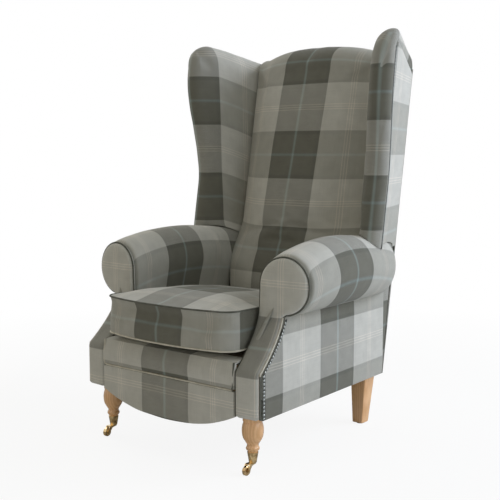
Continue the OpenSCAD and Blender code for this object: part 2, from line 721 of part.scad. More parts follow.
// A point of the arm at a share of its length, kept beside the inside back where that stands
function arm_point(w, t, z) =
    let (v = w < 0 ? facing_t : blend(facing_sweep, roll_end_v(t, z), w),
        y = v * cos(splay) + t * sin(splay),
        side = front_half_w - back_half_w(z) - gap,
        beside = w >= seam_share && t * cos(splay) - v * sin(splay) < -side)
    beside ? [y * sin(splay) - side * cos(splay), y * cos(splay) + side * sin(splay), z] : [t, v, z];
function arm_ring(w) =
    let (r = roll_high(clamp01(w)), wide = roll_wide(clamp01(w)), zc = roll_z + r)
    concat(
        [for (k = [0 : arc_n]) let (a = -90 + 270 * k / arc_n)
            arm_point(w, (a < 90 ? wide : r) * cos(a), zc + r * sin(a))],
        [arm_point(w, -blend(arm_w, r, inner_share), blend(roll_z, zc, inner_share)),
            arm_point(w, -arm_w, roll_z + gap),
            arm_point(w, -arm_w, deck_z + gap),
            arm_point(w, -arm_w + arm_pad_t, deck_z + gap),
            arm_point(w, -arm_w + arm_pad_t, roll_z)]);
arm_station_shares = [-1, 0, 0.1, 0.2, 0.3, 0.4, 0.5, 0.6, seam_share, 0.78, 0.85, 0.91, 0.96, 1];
module arm_pad(side) {
    color("silver") on_arm(side) difference() {
        loft([for (w = arm_station_shares) arm_ring(w)]);
        facing_cut(facing_t + gap);
    }
}

function panel_rear_v(z) = (rear_y(z) - (cover_t + 2 * gap) / cos(rake)) / cos(splay);
function strip_front_v(z) = (rear_y(z) - (pad_rear + cover_t - 2 * gap) / cos(rake)) / cos(splay);
module outside_arm(side) {
    high = roll_z - gap;
    strip_top = wing_z0 - gap;
    color("lightsteelblue") on_arm(side) difference() {
        across_arm(0, cover_t)
            polygon([[0, leg_h], [panel_rear_v(leg_h), leg_h], [panel_rear_v(strip_top), strip_top],
                [strip_front_v(strip_top), strip_top], [strip_front_v(high), high], [0, high]]);
        facing_cut(facing_t + gap);
    }
}

// Arm facing: the scroll and the board below it, bent forwards to the foot of the arm
module facing_zone_block() {
    back_line = facing_line(facing_t);
    across_arm(-2 * roll_r, 2 * arm_w)
        polygon(concat(
            [[0, facing_low]], facing_line(0), [[facing_sweep, facing_high]],
            [[facing_sweep + facing_t, facing_high]],
            [for (k = [sweep_steps : -1 : 0]) back_line[k]], [[facing_t, facing_low]]));
}
facing_n = 72;
module facing_front(inset) {
    r = roll_r - inset;
    zc = roll_z + roll_r;
    drop = (inset - piping_r) * tan(atan((arm_w - roll_r) / roll_r) / 2);
    polygon(concat([[-arm_w + inset, leg_h], [-inset, leg_h], [-inset, roll_z + inset]],
        [for (i = [0 : facing_n]) let (a = blend(-90, 180, i / facing_n)) [r * cos(a), zc + r * sin(a)]],
        [[-r, zc - drop], [-arm_w + inset, roll_z - drop]]));
}
module arm_facing(side) {
    color("gray") on_arm(side) intersection() {
        facing_zone_block();
        translate([0, 2 * facing_sweep, 0]) rotate([90, 0, 0])
            linear_extrude(3 * facing_sweep) facing_front(2 * piping_r + gap);
    }
}

// Piping round the edge of the facing, from foot to foot over the scroll
piping_up_n = 4;
scroll_n = 22;
function on_facing(x, z) = [x, facing_v(z) + facing_t / 2, z];
function facing_edge() =
    let (inset = piping_r, zc = roll_z + roll_r, r = roll_r - inset, foot = leg_h + piping_r)
    concat(
        [for (z = levels(foot, bend_z - facing_t / 2, piping_up_n)) on_facing(-inset, z)],
        [for (z = levels(bend_z, roll_z - inset, sweep_steps)) on_facing(-inset, z)],
        [for (i = [0 : scroll_n]) let (a = -90 + 270 * i / scroll_n) on_facing(r * cos(a), zc + r * sin(a))],
        [for (w = [tail_side_share, 2 * tail_side_share])
            on_facing(-blend(r, arm_w - inset, w), blend(zc, roll_z, w))],
        [for (z = levels(roll_z, bend_z, sweep_steps)) on_facing(-arm_w + inset, z)],
        [for (z = levels(bend_z - facing_t / 2, foot, piping_up_n)) on_facing(-arm_w + inset, z)]);
module facing_piping(side) {
    color("darkslategray") on_arm(side) tube(facing_edge(), piping_r, [0, 1, 0]);
}

// Wing pad: upright loops from the back to the nose of the wing, standing on the arm roll
pad_board = wing_board_d1 + gap;
pad_post_s = ((pad_rear + gap) / cos(rake) - pad_board * wing_out[1]
    + pad_board * wing_out[2] * tan(rake)) / cos(wing_flare);
pad_levels = len(wing_levels) + 1;
cap_n = 8;
cap_skew = 1.8;
nose_n = 5;
sole_n = 4;
bulge_share = 0.1;
pad_bulge = wing_t * bulge_share;
nose_round_share = 0.12;
nose_end = 84;
post_cap_share = 0.3;
post_step_share = 0.7;
step_cap_share = 0.9;
roll_top_z = roll_z + 2 * roll_r;
// A loop from its four edge lines: inner face, both feet of the cap, and the face on the board
function pad_ring(low, top, in_low, out_low, round, in_at, cap_in, cap_out, out_at) =
    let (wide = norm(out_at(low) - in_at(low)),
        lift = wide * round,
        z_in = over_roll(in_at(roll_top_z)) + lift,
        z_out = over_roll(out_at(roll_top_z)) + lift)
    concat(
        [for (z = concat([z_in], wing_levels, [in_low])) in_at(z)],
        [for (k = [cap_n : -1 : 0]) let (a = 180 * k / cap_n, z = low + (top - low) * sin(a))
            blend(cap_out(z), cap_in(z), pow((1 - cos(a)) / 2, cap_skew))],
        [for (i = [pad_levels : -1 : 0])
            out_at(i == pad_levels ? out_low : i == 0 ? z_out : wing_levels[i - 1])],
        [for (i = [1 : sole_n])
            let (w = i / (sole_n + 1),
                z = over_roll(blend(out_at(roll_top_z), in_at(roll_top_z), w)) + lift * (1 - sin(180 * w)))
            blend(out_at(z), in_at(z), w)]);
// A loop at the post, whose cap runs on over the post to a place y, at a share of its full height
function rear_ring(y, step, high_share) =
    let (s = (rear_end_y - y) / cos(wing_flare),
        low = max(cap_z + step, wing_top(s) - wing_cap),
        side_x = function(z) back_half_w(z) + gap,
        out_x = function(z) rear_half_w + (rear_y(z) - y) * tan(wing_flare))
    pad_ring(low, low + wing_cap * high_share, low, low, 0,
        function(z) [side_x(z), pad_rear_y(z) - step, z],
        function(z) [side_x(z), y, z],
        function(z) [out_x(z), y, z],
        function(z) wing_at(pad_post_s + step, pad_board, z));
function seam_pt(z) = [back_half_w(z) + gap, back_edge_y(z) - cover_t, z];
function pad_inner(f, z) = blend(seam_pt(z), wing_at(wing_reach(z), wing_t, z), f)
    - pad_bulge * sin(180 * f) * [wing_out[0], wing_out[1], 0];
function side_ring(f) =
    let (top = wing_top(blend(pad_s0, wing_reach_top, f)),
        low = max(cap_z, top - wing_cap),
        edge_step = cover_t)
    pad_ring(low, top, low - edge_step, low, 0,
        function(z) pad_inner(f, z),
        function(z) pad_inner(f, z),
        function(z) wing_at(blend(pad_s0, wing_reach(z), f), 0, z),
        function(z) wing_at(blend(pad_s0, wing_reach(z), f), pad_board, z));
function nose_ring(turn) =
    let (near = wing_t / 2 * (1 - cos(turn)),
        ahead = wing_nose * sin(turn) + gap,
        top = wing_top(wing_reach_top + ahead),
        low = top - wing_cap,
        edge_step = cover_t,
        outer = function(z) wing_at(wing_reach(z) + ahead, near, z),
        inner = function(z) wing_at(wing_reach(z) + ahead, wing_t - near, z))
    pad_ring(low, top, low - edge_step, low - edge_step, nose_round_share * sin(turn),
        inner, inner, outer, outer);
pad_n = 2 * pad_levels + cap_n + sole_n + 3;
post_face = concat([for (j = [0 : pad_levels]) j], [for (j = [pad_levels + cap_n + 2 : pad_n - 1]) j]);
cap_face = [for (j = [pad_levels + 1 : pad_levels + 1 + cap_n]) j];
ledge_face = [pad_levels, pad_levels + 1, pad_levels + cap_n + 1, pad_levels + cap_n + 2];
// The nose lid is a zip of triangles from the middle of the sole up to the top of the cap
function zip_at(i) = (pad_n - sole_n / 2 + i) % pad_n;
zip_mid = (pad_n - 1) / 2;
zip_faces = concat(
    [for (i = [0 : zip_mid - 2], half = [0, 1])
        half == 0 ? [zip_at(i), zip_at(i + 1), zip_at(pad_n - 2 - i)]
            : [zip_at(i), zip_at(pad_n - 2 - i), zip_at(pad_n - 1 - i)]],
    [[zip_at(zip_mid - 1), zip_at(zip_mid), zip_at(zip_mid + 1)]]);
module wing_pad(side) {
    color("gray") placed() on_side(side) loft(concat(
        [rear_ring(rear_end_y, 0, post_cap_share),
            rear_ring(rear_end_y - post_t * post_step_share, cover_t / 2, step_cap_share)],
        [for (f = wing_side_shares) side_ring(f)],
        [for (i = [0 : nose_n]) nose_ring(nose_end * i / nose_n)]),
        [post_face, ledge_face, cap_face], zip_faces);
}

wing_foot_n = 9;
wing_foot_s = (pad_rear + cover_t) / cos(rake) / cos(wing_flare);
function panel_foot(s) = s < wing_foot_s ? wing_z0
    : max(wing_z0, over_roll(wing_pt(s, 0, roll_top_z)), over_roll(wing_pt(s, cover_t, roll_top_z)));
module outside_wing(side) {
    z1 = wing_under_cap(wing_reach_top);
    s0 = (cover_t + 2 * gap) / cos(rake) / cos(wing_flare);
    s1 = wing_reach(wing_z0);
    color("lightsteelblue") placed() on_side(side) wing_plate(concat(
        [for (s = concat([s0], levels(wing_foot_s, s1 - gap, wing_foot_n))) [s, panel_foot(s)]],
        wing_edge(panel_foot(s1), z1, 0),
        wing_crown(wing_reach_top - gap, s0, 0)), 0, cover_t);
}

// Front border: a padded roll over the front rail, bowed and drawn in at its ends
border_n = 12;
border_bulge_share = 2;
border_flat_share = 0.5;
border_tuck_share = 0.12;
border_bulge = piping_r * border_bulge_share;
roll_steps = 8;
function border_half(y) = front_half_w - (arm_w + gap) / cos(splay) - y * tan(splay);
border_x = border_half(front_rail_y);
border_foot = border_z + piping_r + gap;
border_back = front_rail_y - gap;
border_sill = spring_z + wire_t + 2 * gap + clip_top + gap;
function border_slice(u) =
    let (bulge = border_bulge * (1 - border_flat_share * pow(abs(u), side_power)),
        side = concat(
            [[border_back, border_foot]],
            [for (i = [0 : roll_steps]) let (w = i / roll_steps)
                [apron_y - bulge * sin(180 * w) + (deck_z - border_foot) * border_tuck_share * w * w,
                    blend(border_foot, deck_z, w)]],
            [[deck_y0 - gap, deck_z], [deck_y0 - gap, border_sill], [border_back, border_sill]]))
    [for (p = side) [u * border_half(p[0]), p[0], p[1]]];
module front_border() {
    color("gray") placed() loft([for (i = [0 : border_n]) border_slice(-1 + 2 * i / border_n)]);
}
module border_piping() {
    color("lightgray") placed() translate([-border_x, apron_y + piping_r / 2, border_z]) rotate([0, 90, 0])
        cylinder(h = 2 * border_x, r = piping_r, $fn = 24);
}

// Front apron: a flat panel with a scallop along its lower edge
scallop_n = 20;
scallop_power = 2.5;
module front_apron() {
    color("gray") placed() translate([0, apron_y + apron_t, 0]) rotate([90, 0, 0]) linear_extrude(apron_t)
        polygon(concat([[border_x, border_z - piping_r - gap], [-border_x, border_z - piping_r - gap]],
            [for (i = [0 : scallop_n]) let (u = -1 + 2 * i / scallop_n)
                [u * border_x, leg_h - scallop * (1 - pow(abs(u), scallop_power))]]));
}

// Studs step along a curved edge at an even pitch
stud_fn = 16;
stud_shares = [[0, 0], [1, 0], [0.8, 0.6], [0.4, 1], [0, 1]];
module stud() {
    rotate_extrude($fn = stud_fn) polygon([for (s = stud_shares) [s[0] * stud_r, s[1] * stud_h]]);
}
slope_step = stud_h / 2;
function facing_slope(z) = (facing_v(z + slope_step) - facing_v(z)) / slope_step;
function wing_slope(z) = (wing_reach(z + slope_step) - wing_reach(z)) / slope_step;
function march_arm(z, z1) = z > z1 ? []
    : concat([z], march_arm(z + stud_pitch / sqrt(1 + pow(facing_slope(z), 2)), z1));
function march_wing(z, z1) = z > z1 ? []
    : concat([z], march_wing(z + stud_pitch / sqrt(1 + pow(wing_slope(z), 2)), z1));
stud_edge = stud_r + gap;
stud_inset_share = 0.4;
module arm_studs(side) {
    color("gray") on_arm(side) for (z = march_arm(leg_h + stud_edge, roll_z - 3 * stud_r))
        translate([gap / 2, facing_v(z) + facing_t + stud_edge + stud_r * facing_slope(z) / 2, z])
        rotate([0, 90, 0]) stud();
}
module wing_studs(side) {
    z1 = wing_under_cap(wing_reach_top) - stud_edge;
    z0 = panel_foot(wing_reach(wing_z0)) + stud_edge;
    color("gray") placed() on_side(side) for (z = march_wing(z0, z1))
        translate(wing_pt(wing_reach(z) - stud_edge - stud_inset_share * stud_r, -gap / 2, z))
        rotate([0, 90 + wing_lean, wing_flare]) stud();
}

// Castor heights, from the floor up
horn_z = 2 * wheel_r + horn_t / 2;
cup_z = horn_z + horn_t + gap;
foot_z = cup_z + horn_t + gap / 2;

// Turned front leg
leg_top_z = frame_z - gap;
leg_len = leg_top_z - foot_z;
stem_share = 0.2;
stem_r_share = 0.45;
turning_shares = [[0.225, 0.5], [0.24, 0.57], [0.275, 0.64], [0.31, 0.57], [0.335, 0.52],
    [0.37, 0.56], [0.42, 0.7], [0.5, 0.9], [0.6, 0.99], [0.68, 1], [0.76, 0.95], [0.82, 0.87],
    [0.84, 0.84], [0.85, 0.92], [1, 0.92]];
stem_z = foot_z + stem_share * leg_len;
stem_r = stem_r_share * leg_r;
turning_fn = 72;
module front_leg(side) {
    color("peru") difference() {
        placed() translate([side * front_leg_x, front_leg_y, 0]) rotate_extrude($fn = turning_fn)
            polygon(concat([[0, foot_z], [leg_foot_r, foot_z], [stem_r, stem_z]],
                [for (s = turning_shares) [s[1] * leg_r, foot_z + s[0] * leg_len]], [[0, leg_top_z]]));
        bolt_bores();
    }
}

// Tapered rear leg, its foot set forwards and inwards
rear_foot_shift = (rear_leg_top_w - rear_leg_foot_w) / 3;
rear_foot_y = rear_leg_y - rear_foot_shift;
rear_foot_x = rear_leg_x - rear_foot_shift / 2;
module rear_leg(side) {
    top = rear_leg_top_w / 2;
    foot = rear_leg_foot_w / 2;
    square_ring = [[-1, -1], [1, -1], [1, 1], [-1, 1]];
    color("peru") difference() {
        placed() on_side(side) loft([
            [for (p = square_ring) [rear_leg_x + p[0] * top, rear_leg_y + p[1] * top, leg_top_z]],
            [for (p = square_ring)
                [rear_foot_x + p[0] * foot, rear_foot_y + p[1] * foot, glide_h + gap / 2]]]);
        bolt_bores();
    }
}
module foot_glides() {
    color("dimgray") placed() for (side = [-1, 1]) translate([side * rear_foot_x, rear_foot_y, 0])
        cylinder(h = glide_h, r = glide_r, $fn = 40);
}

// Castor: a cup with its riveted pivot, a horn that turns on it, an axle and a wheel
castor_fn = 48;
rivet_share = 1.5;
rivet_r = pivot_r * rivet_share;
rivet_t = horn_t / 2;
module at_castor(side) {
    placed() translate([side * front_leg_x, front_leg_y, 0]) children();
}
function stem_at(z) = blend(leg_foot_r, stem_r, (z - foot_z) / (stem_z - foot_z));
module castor_cup(side) {
    rim = cup_z + cup_h;
    inner = gap / 2;
    color("goldenrod") at_castor(side) {
        rotate_extrude($fn = castor_fn) polygon([
            [0, cup_z], [leg_foot_r + cup_t, cup_z],
            [stem_at(rim) + inner + cup_t, rim - cup_t], [stem_at(rim) + inner + cup_t, rim],
            [stem_at(rim) + inner, rim], [leg_foot_r + inner, foot_z - gap / 2], [0, foot_z - gap / 2]]);
        translate([0, 0, horn_z - gap - rivet_t]) cylinder(h = rivet_t, r = rivet_r, $fn = castor_fn);
        translate([0, 0, horn_z - gap - rivet_t / 2])
            cylinder(h = cup_z + gap + rivet_t - horn_z, r = pivot_r, $fn = castor_fn);
    }
}
cheek_in = wheel_w / 2 + gap;
cheek_out = cheek_in + horn_t;
eye_share = 2.2;
cheek_out_share = 0.9;
cheek_up_share = 0.4;
cheek_rear_share = 0.8;
cheek_front_share = 0.45;
eye_r = eye_share * axle_r;
plate_r = cheek_out;
module cheek_outline() {
    difference() {
        union() {
            translate([-castor_trail, wheel_r]) circle(r = eye_r, $fn = castor_fn);
            polygon([[-castor_trail, wheel_r] + eye_r * [-cheek_out_share, cheek_up_share],
                [-castor_trail * cheek_rear_share, horn_z + horn_t],
                [pivot_r, horn_z + horn_t], [pivot_r, horn_z],
                [-castor_trail * cheek_front_share, horn_z - horn_t],
                [-castor_trail, wheel_r] + eye_r * [cheek_out_share, -cheek_up_share],
                [-castor_trail, wheel_r]]);
        }
        translate([-castor_trail, wheel_r]) circle(r = axle_r + run / 2, $fn = castor_fn);
    }
}
module castor_horn(side) {
    color("goldenrod") at_castor(side) difference() {
        union() {
            for (x = [-cheek_out, cheek_in])
                translate([x, 0, 0]) rotate([90, 0, 90]) linear_extrude(horn_t) cheek_outline();
            translate([0, 0, horn_z]) cylinder(h = horn_t, r = plate_r, $fn = castor_fn);
            translate([-cheek_out, -castor_trail * cheek_rear_share, horn_z])
                cube([2 * cheek_out, castor_trail * cheek_rear_share, horn_t]);
        }
        translate([0, 0, horn_z - over]) cylinder(h = horn_t + 2 * over, r = pivot_r + run, $fn = castor_fn);
    }
}
module castor_axle(side) {
    head_t = horn_t / 2;
    color("darkgoldenrod") at_castor(side) translate([0, -castor_trail, wheel_r]) rotate([0, 90, 0]) {
        translate([0, 0, -cheek_out - gap]) cylinder(h = 2 * (cheek_out + gap), r = axle_r, $fn = castor_fn);
        for (z = [-cheek_out - gap - head_t, cheek_out + gap])
            translate([0, 0, z]) cylinder(h = head_t, r = axle_r * rivet_share, $fn = castor_fn);
    }
}
wheel_edge_share = 0.2;
module castor_wheel(side) {
    half = wheel_w / 2;
    edge = wheel_w * wheel_edge_share;
    bore = axle_r + run;
    color("gold") at_castor(side) translate([0, -castor_trail, wheel_r]) rotate([0, 90, 0])
        rotate_extrude($fn = castor_fn) polygon([
            [bore, -half], [wheel_r - edge, -half], [wheel_r, -half + edge],
            [wheel_r, half - edge], [wheel_r - edge, half], [bore, half]]);
}

front_rail();
rear_rail();
side_rail(-1);  // side_rail_left
side_rail(1);  // side_rail_right
corner_blocks();
arm_post(-1);  // arm_post_left
arm_post(1);  // arm_post_right
arm_rail(-1);  // arm_rail_left
arm_rail(1);  // arm_rail_right
back_post(-1);  // back_post_left
back_post(1);  // back_post_right
crest_rail();
back_rails();
wing_frame(-1);  // wing_frame_left
wing_frame(1);  // wing_frame_right
seat_springs();
spring_clips();
back_webbing();
seat_deck();
dust_cover();
seat_cushion();
cushion_piping(0);  // cushion_piping_top
cushion_piping(1);  // cushion_piping_bottom
cushion_zip();
inside_back();
outside_back();
arm_pad(-1);  // arm_pad_left
arm_pad(1);  // arm_pad_right
outside_arm(-1);  // outside_arm_left
outside_arm(1);  // outside_arm_right
arm_facing(-1);  // arm_facing_left
arm_facing(1);  // arm_facing_right
facing_piping(-1);  // facing_piping_left
facing_piping(1);  // facing_piping_right
wing_pad(-1);  // wing_pad_left
wing_pad(1);  // wing_pad_right
outside_wing(-1);  // outside_wing_left
outside_wing(1);  // outside_wing_right
front_border();
border_piping();
front_apron();
arm_studs(-1);  // arm_studs_left
arm_studs(1);  // arm_studs_right
wing_studs(-1);  // wing_studs_left
wing_studs(1);  // wing_studs_right
front_leg(-1);  // front_leg_left
front_leg(1);  // front_leg_right
rear_leg(-1);  // rear_leg_left
rear_leg(1);  // rear_leg_right
leg_bolts();
foot_glides();
castor_cup(-1);  // castor_cup_left
castor_cup(1);  // castor_cup_right
castor_horn(-1);  // castor_horn_left
castor_horn(1);  // castor_horn_right
castor_axle(-1);  // castor_axle_left
castor_axle(1);  // castor_axle_right
castor_wheel(-1);  // castor_wheel_left
castor_wheel(1);  // castor_wheel_right
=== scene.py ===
"""Wing back fireside chair: padded covers in a woven check, turned legs, castors and trim."""

from __future__ import annotations

import json
import logging
import math
from dataclasses import dataclass
from enum import Enum
from typing import Callable, Sequence

import bmesh
import bpy
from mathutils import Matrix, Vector, noise

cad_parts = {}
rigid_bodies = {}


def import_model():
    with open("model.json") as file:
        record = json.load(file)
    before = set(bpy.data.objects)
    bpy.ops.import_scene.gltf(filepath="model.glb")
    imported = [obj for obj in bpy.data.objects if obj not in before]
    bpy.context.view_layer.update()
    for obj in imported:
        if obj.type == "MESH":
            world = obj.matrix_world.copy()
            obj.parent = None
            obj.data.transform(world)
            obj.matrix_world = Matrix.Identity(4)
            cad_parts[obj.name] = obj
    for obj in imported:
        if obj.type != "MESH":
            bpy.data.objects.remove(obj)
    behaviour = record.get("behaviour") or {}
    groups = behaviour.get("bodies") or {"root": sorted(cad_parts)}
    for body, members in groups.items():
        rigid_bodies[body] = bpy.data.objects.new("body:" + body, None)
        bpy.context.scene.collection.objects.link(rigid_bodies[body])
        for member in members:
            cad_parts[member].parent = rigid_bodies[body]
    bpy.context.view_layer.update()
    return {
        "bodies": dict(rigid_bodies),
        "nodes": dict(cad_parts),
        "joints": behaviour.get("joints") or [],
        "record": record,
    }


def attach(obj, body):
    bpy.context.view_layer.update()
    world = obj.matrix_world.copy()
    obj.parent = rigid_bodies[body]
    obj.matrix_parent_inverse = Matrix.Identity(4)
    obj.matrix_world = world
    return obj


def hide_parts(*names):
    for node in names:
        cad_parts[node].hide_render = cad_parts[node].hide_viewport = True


LOG = logging.getLogger("fireside_chair")
UV_NAME = "weave"

Rgb = tuple[int, int, int]
Colour = tuple[float, float, float, float]
Triple = tuple[float, float, float]
ClothPlace = tuple[float, float]
Loop = tuple[list[Vector], list[ClothPlace]]
Place = Callable[[int, int], Vector]
Weave = Callable[[int, int], ClothPlace]
BoxPlace = Callable[[float, float, float], Vector]
BoxWeave = Callable[[Vector, Vector], ClothPlace]
Give = Callable[[Vector], float]


class Side(Enum):
    """Which side of the chair a piece is on, as seen from the front."""

    LEFT = "left"
    RIGHT = "right"


class Body(Enum):
    """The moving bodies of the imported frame."""

    FRAME = "frame"
    CUSHION = "cushion"


class Slot(Enum):
    """The record's material slots."""

    WOOL = "checked_wool"
    PALE_PIPING = "pale_piping"
    DARK_PIPING = "dark_piping"
    BEECH = "beech"


def tint(red: int, green: int, blue: int) -> Colour:
    """A screen colour, 0 to 255 a channel, as linear light with alpha."""
    def linear(value: int) -> float:
        """One channel as linear light."""
        share = value / 255
        return share / 12.92 if share <= 0.04045 else ((share + 0.055) / 1.055) ** 2.4

    return (linear(red), linear(green), linear(blue), 1.0)


def clamp01(w: float) -> float:
    """A number held between 0 and 1."""
    return min(1.0, max(0.0, w))


def ease(w: float) -> float:
    """A smooth step from 0 to 1."""
    c = clamp01(w)
    return c * c * (3 - 2 * c)


def mix(a: float, b: float, w: float) -> float:
    """A number part of the way from a to b."""
    return a + (b - a) * w


def running(points: Sequence[Vector]) -> list[float]:
    """Length along a line of points, at each of them."""
    total = [0.0]
    for before, after in zip(points, points[1:]):
        total.append(total[-1] + (after - before).length)
    return total


def even_steps(points: Sequence[Vector], count: int) -> list[Vector]:
    """Cuts a line of points into equal steps.

    Args:
        points: the line.
        count: how many steps it gets.

    Returns:
        The ends of the steps, one more than their count.
    """
    length = running(points)
    result, k = [], 0
    for i in range(count + 1):
        target = length[-1] * i / count
        while k < len(points) - 2 and length[k + 1] < target:
            k += 1
        step = length[k + 1] - length[k]
        result.append(points[k].lerp(points[k + 1], clamp01((target - length[k]) / step)))
    return result


def linked(name: str, data: bpy.types.ID) -> bpy.types.Object:
    """A new object in the scene."""
    obj = bpy.data.objects.new(name, data)
    bpy.context.scene.collection.objects.link(obj)
    return obj


def mesh_object(name: str, bm: bmesh.types.BMesh) -> bpy.types.Object:
    """A new object in the scene with this mesh, which is used up."""
    mesh = bpy.data.meshes.new(name)
    bm.to_mesh(mesh)
    bm.free()
    return linked(name, mesh)


class Signal:
    """A shader socket that can be used in Python sums."""

    def __init__(self, graph: "Graph", socket: bpy.types.NodeSocket) -> None:
        """Wraps an output socket of a graph."""
        self.graph = graph
        self.socket = socket

    def _with(self, operation: str, *values: object) -> "Signal":
        """A Math node over these values.

        Args:
            operation: the Math node's operation.
            values: signals or numbers, in the node's order.

        Returns:
            The node's result.
        """
        return self.graph.node("ShaderNodeMath", {"operation": operation}, dict(enumerate(values)))

    def __add__(self, other: object) -> "Signal":
        """Sum."""
        return self._with("ADD", self, other)

    __radd__ = __add__

    def __sub__(self, other: object) -> "Signal":
        """Difference."""
        return self._with("SUBTRACT", self, other)

    def __rsub__(self, other: object) -> "Signal":
        """Difference from a number."""
        return self._with("SUBTRACT", other, self)

    def __mul__(self, other: object) -> "Signal":
        """Product."""
        return self._with("MULTIPLY", self, other)

    __rmul__ = __mul__

    def __truediv__(self, other: object) -> "Signal":
        """Quotient."""
        return self._with("DIVIDE", self, other)

    def fold(self, half_period: float) -> "Signal":
        """Distance from the nearest whole number of periods."""
        return self._with("PINGPONG", self, half_period)

    def wave(self) -> "Signal":
        """Sine of the number."""
        return self._with("SINE", self)

    def either(self, other: "Signal") -> "Signal":
        """The greater of two numbers."""
        return self._with("MAXIMUM", self, other)


class Graph:
    """The nodes of one material, or of the world."""

    def __init__(self, owner: bpy.types.Material | bpy.types.World) -> None:
        """Starts with an empty node tree."""
        self.owner = owner
        owner.use_nodes = True
        self.tree = owner.node_tree
        self.tree.nodes.clear()

    @classmethod
    def of_material(cls, name: str) -> "Graph":
        """The nodes of a new material."""
        return cls(bpy.data.materials.new(name))

    def node(
        self,
        kind: str,
        settings: dict[str, object],
        inputs: dict[object, object],
        out: object = 0,
    ) -> Signal:
        """Adds a node.

        Args:
            kind: the node's type.
            settings: its own settings; "stops" holds a ramp's places and colours.
            inputs: numbers, colours or signals by socket name or place.
            out: the output socket to hand back.

        Returns:
            The chosen output.
        """
        made = self.tree.nodes.new(kind)
        for key, value in settings.items():
            if key == "stops":
                self._stops(made, value)
            else:
                setattr(made, key, value)
        for key, value in inputs.items():
            if isinstance(value, Signal):
                self.tree.links.new(value.socket, made.inputs[key])
            else:
                made.inputs[key].default_value = value
        return Signal(self, made.outputs[out])

    @staticmethod
    def _stops(ramp: bpy.types.Node, stops: Sequence[tuple[float, Colour]]) -> None:
        """Sets the places and colours of a ramp."""
        elements = ramp.color_ramp.elements
        while len(elements) > 1:
            elements.remove(elements[-1])
        elements[0].position, elements[0].color = stops[0]
        for place, colour in stops[1:]:
            elements.new(place).color = colour

    def fade(self, factor: Signal, *stops: tuple[float, Rgb]) -> Signal:
        """A ramp between screen colours.

        Args:
            factor: the number that runs along the ramp.
            stops: places from 0 to 1, each with its colour.

        Returns:
            The colour.
        """
        settings = {"stops": [(place, tint(*colour)) for place, colour in stops]}
        return self.node("ShaderNodeValToRGB", settings, {"Fac": factor}, "Color")

    def blend(self, factor: object, a: object, b: object, how: str = "MIX") -> Signal:
        """Mixes two colours."""
        settings = {"data_type": "RGBA", "blend_type": how}
        return self.node("ShaderNodeMix", settings, {0: factor, 6: a, 7: b}, 2)

    def stretch(self, where: Signal, scale: Triple) -> Signal:
        """A place stretched along its axes."""
        return self.node("ShaderNodeMapping", {}, {"Vector": where, "Scale": scale})

    def place(self, scale: Triple) -> Signal:
        """Object coordinates, stretched along the axes."""
        return self.stretch(self.node("ShaderNodeTexCoord", {}, {}, "Object"), scale)

    def cloth(self) -> tuple[Signal, Signal, Signal]:
        """The cloth place, and its distances across and along on their own."""
        uv = self.node("ShaderNodeUVMap", {"uv_map": UV_NAME}, {})
        across, along = (self.node("ShaderNodeSeparateXYZ", {}, {0: uv}, axis) for axis in "XY")
        return uv, across, along

    def mottle(self, where: Signal, scale: float = 1.0, detail: float = 4.0) -> Signal:
        """Soft noise around one half."""
        inputs = {"Vector": where, "Scale": scale, "Detail": detail}
        return self.node("ShaderNodeTexNoise", {}, inputs, "Fac")

    def bump(self, height: Signal, strength: float, distance: float) -> Signal:
        """A bump from a height."""
        inputs = {"Height": height, "Strength": strength, "Distance": distance}
        return self.node("ShaderNodeBump", {}, inputs)

    def ray(self, kind: str) -> Signal:
        """Whether the light path is of this kind."""
        return self.node("ShaderNodeLightPath", {}, {}, kind)

    def cover(self, share: Signal, under: Signal, over: Signal) -> Signal:
        """Shows one shader through another, by a share of the upper one."""
        return self.node("ShaderNodeMixShader", {}, {0: share, 1: under, 2: over})

    def show(self, shader: Signal) -> bpy.types.Material | bpy.types.World:
        """Ends the tree in this shader and hands back its owner."""
        is_world = isinstance(self.owner, bpy.types.World)
        output = self.tree.nodes.new("ShaderNodeOutputWorld" if is_world else "ShaderNodeOutputMaterial")
        self.tree.links.new(shader.socket, output.inputs["Surface"])
        return self.owner

    def shade(self, **sockets: object) -> bpy.types.Material:
        """Ends the tree in a Principled shader.

        Args:
            sockets: signals or values by socket name, with _ for a space.

        Returns:
            The finished material.
        """
        inputs = {key.replace("_", " "): value for key, value in sockets.items()}
        return self.show(self.node("ShaderNodeBsdfPrincipled", {}, inputs))


class Finish:
    """A surface finish that makes its material once."""

    name: str

    def build(self) -> bpy.types.Material:
        """Makes the material."""
        raise NotImplementedError

    def material(self) -> bpy.types.Material:
        """The finish's material, made at first use."""
        return bpy.data.materials.get(self.name) or self.build()


@dataclass(frozen=True)
class Yarns:
    """The colours met along one direction of the check, and how softly they meet."""

    light: Rgb
    shade: Rgb
    charcoal: Rgb
    teal: Rgb
    cream: Rgb
    period: float
    dark_share: float = 0.5
    teal_half: float = 0.0038
    teal_soft: float = 0.0026
    rim: float = 0.011
    rim_soft: float = 0.003
    dark_soft: float = 0.0008
    line_half: float = 0.0011
    line_pitch: float = 0.0075
    line_soft: float = 0.0003

    def stops(self) -> list[tuple[float, Rgb]]:
        """Stops from the middle of a dark band to the middle of a light one."""
        half = self.period / 2
        dark = half * self.dark_share
        line = half - self.line_pitch
        meetings = (
            (self.teal_half, self.teal_soft, self.teal, self.shade),
            (dark - self.rim, self.rim_soft, self.shade, self.charcoal),
            (dark, self.dark_soft, self.charcoal, self.light),
            (line - self.line_half, self.line_soft, self.light, self.cream),
            (line + self.line_half, self.line_soft, self.cream, self.light),
            (half - self.line_half, self.line_soft, self.light, self.cream),
        )
        return [((at + side * soft) / half, colour)
                for at, soft, before, after in meetings
                for side, colour in ((-1, before), (1, after))]


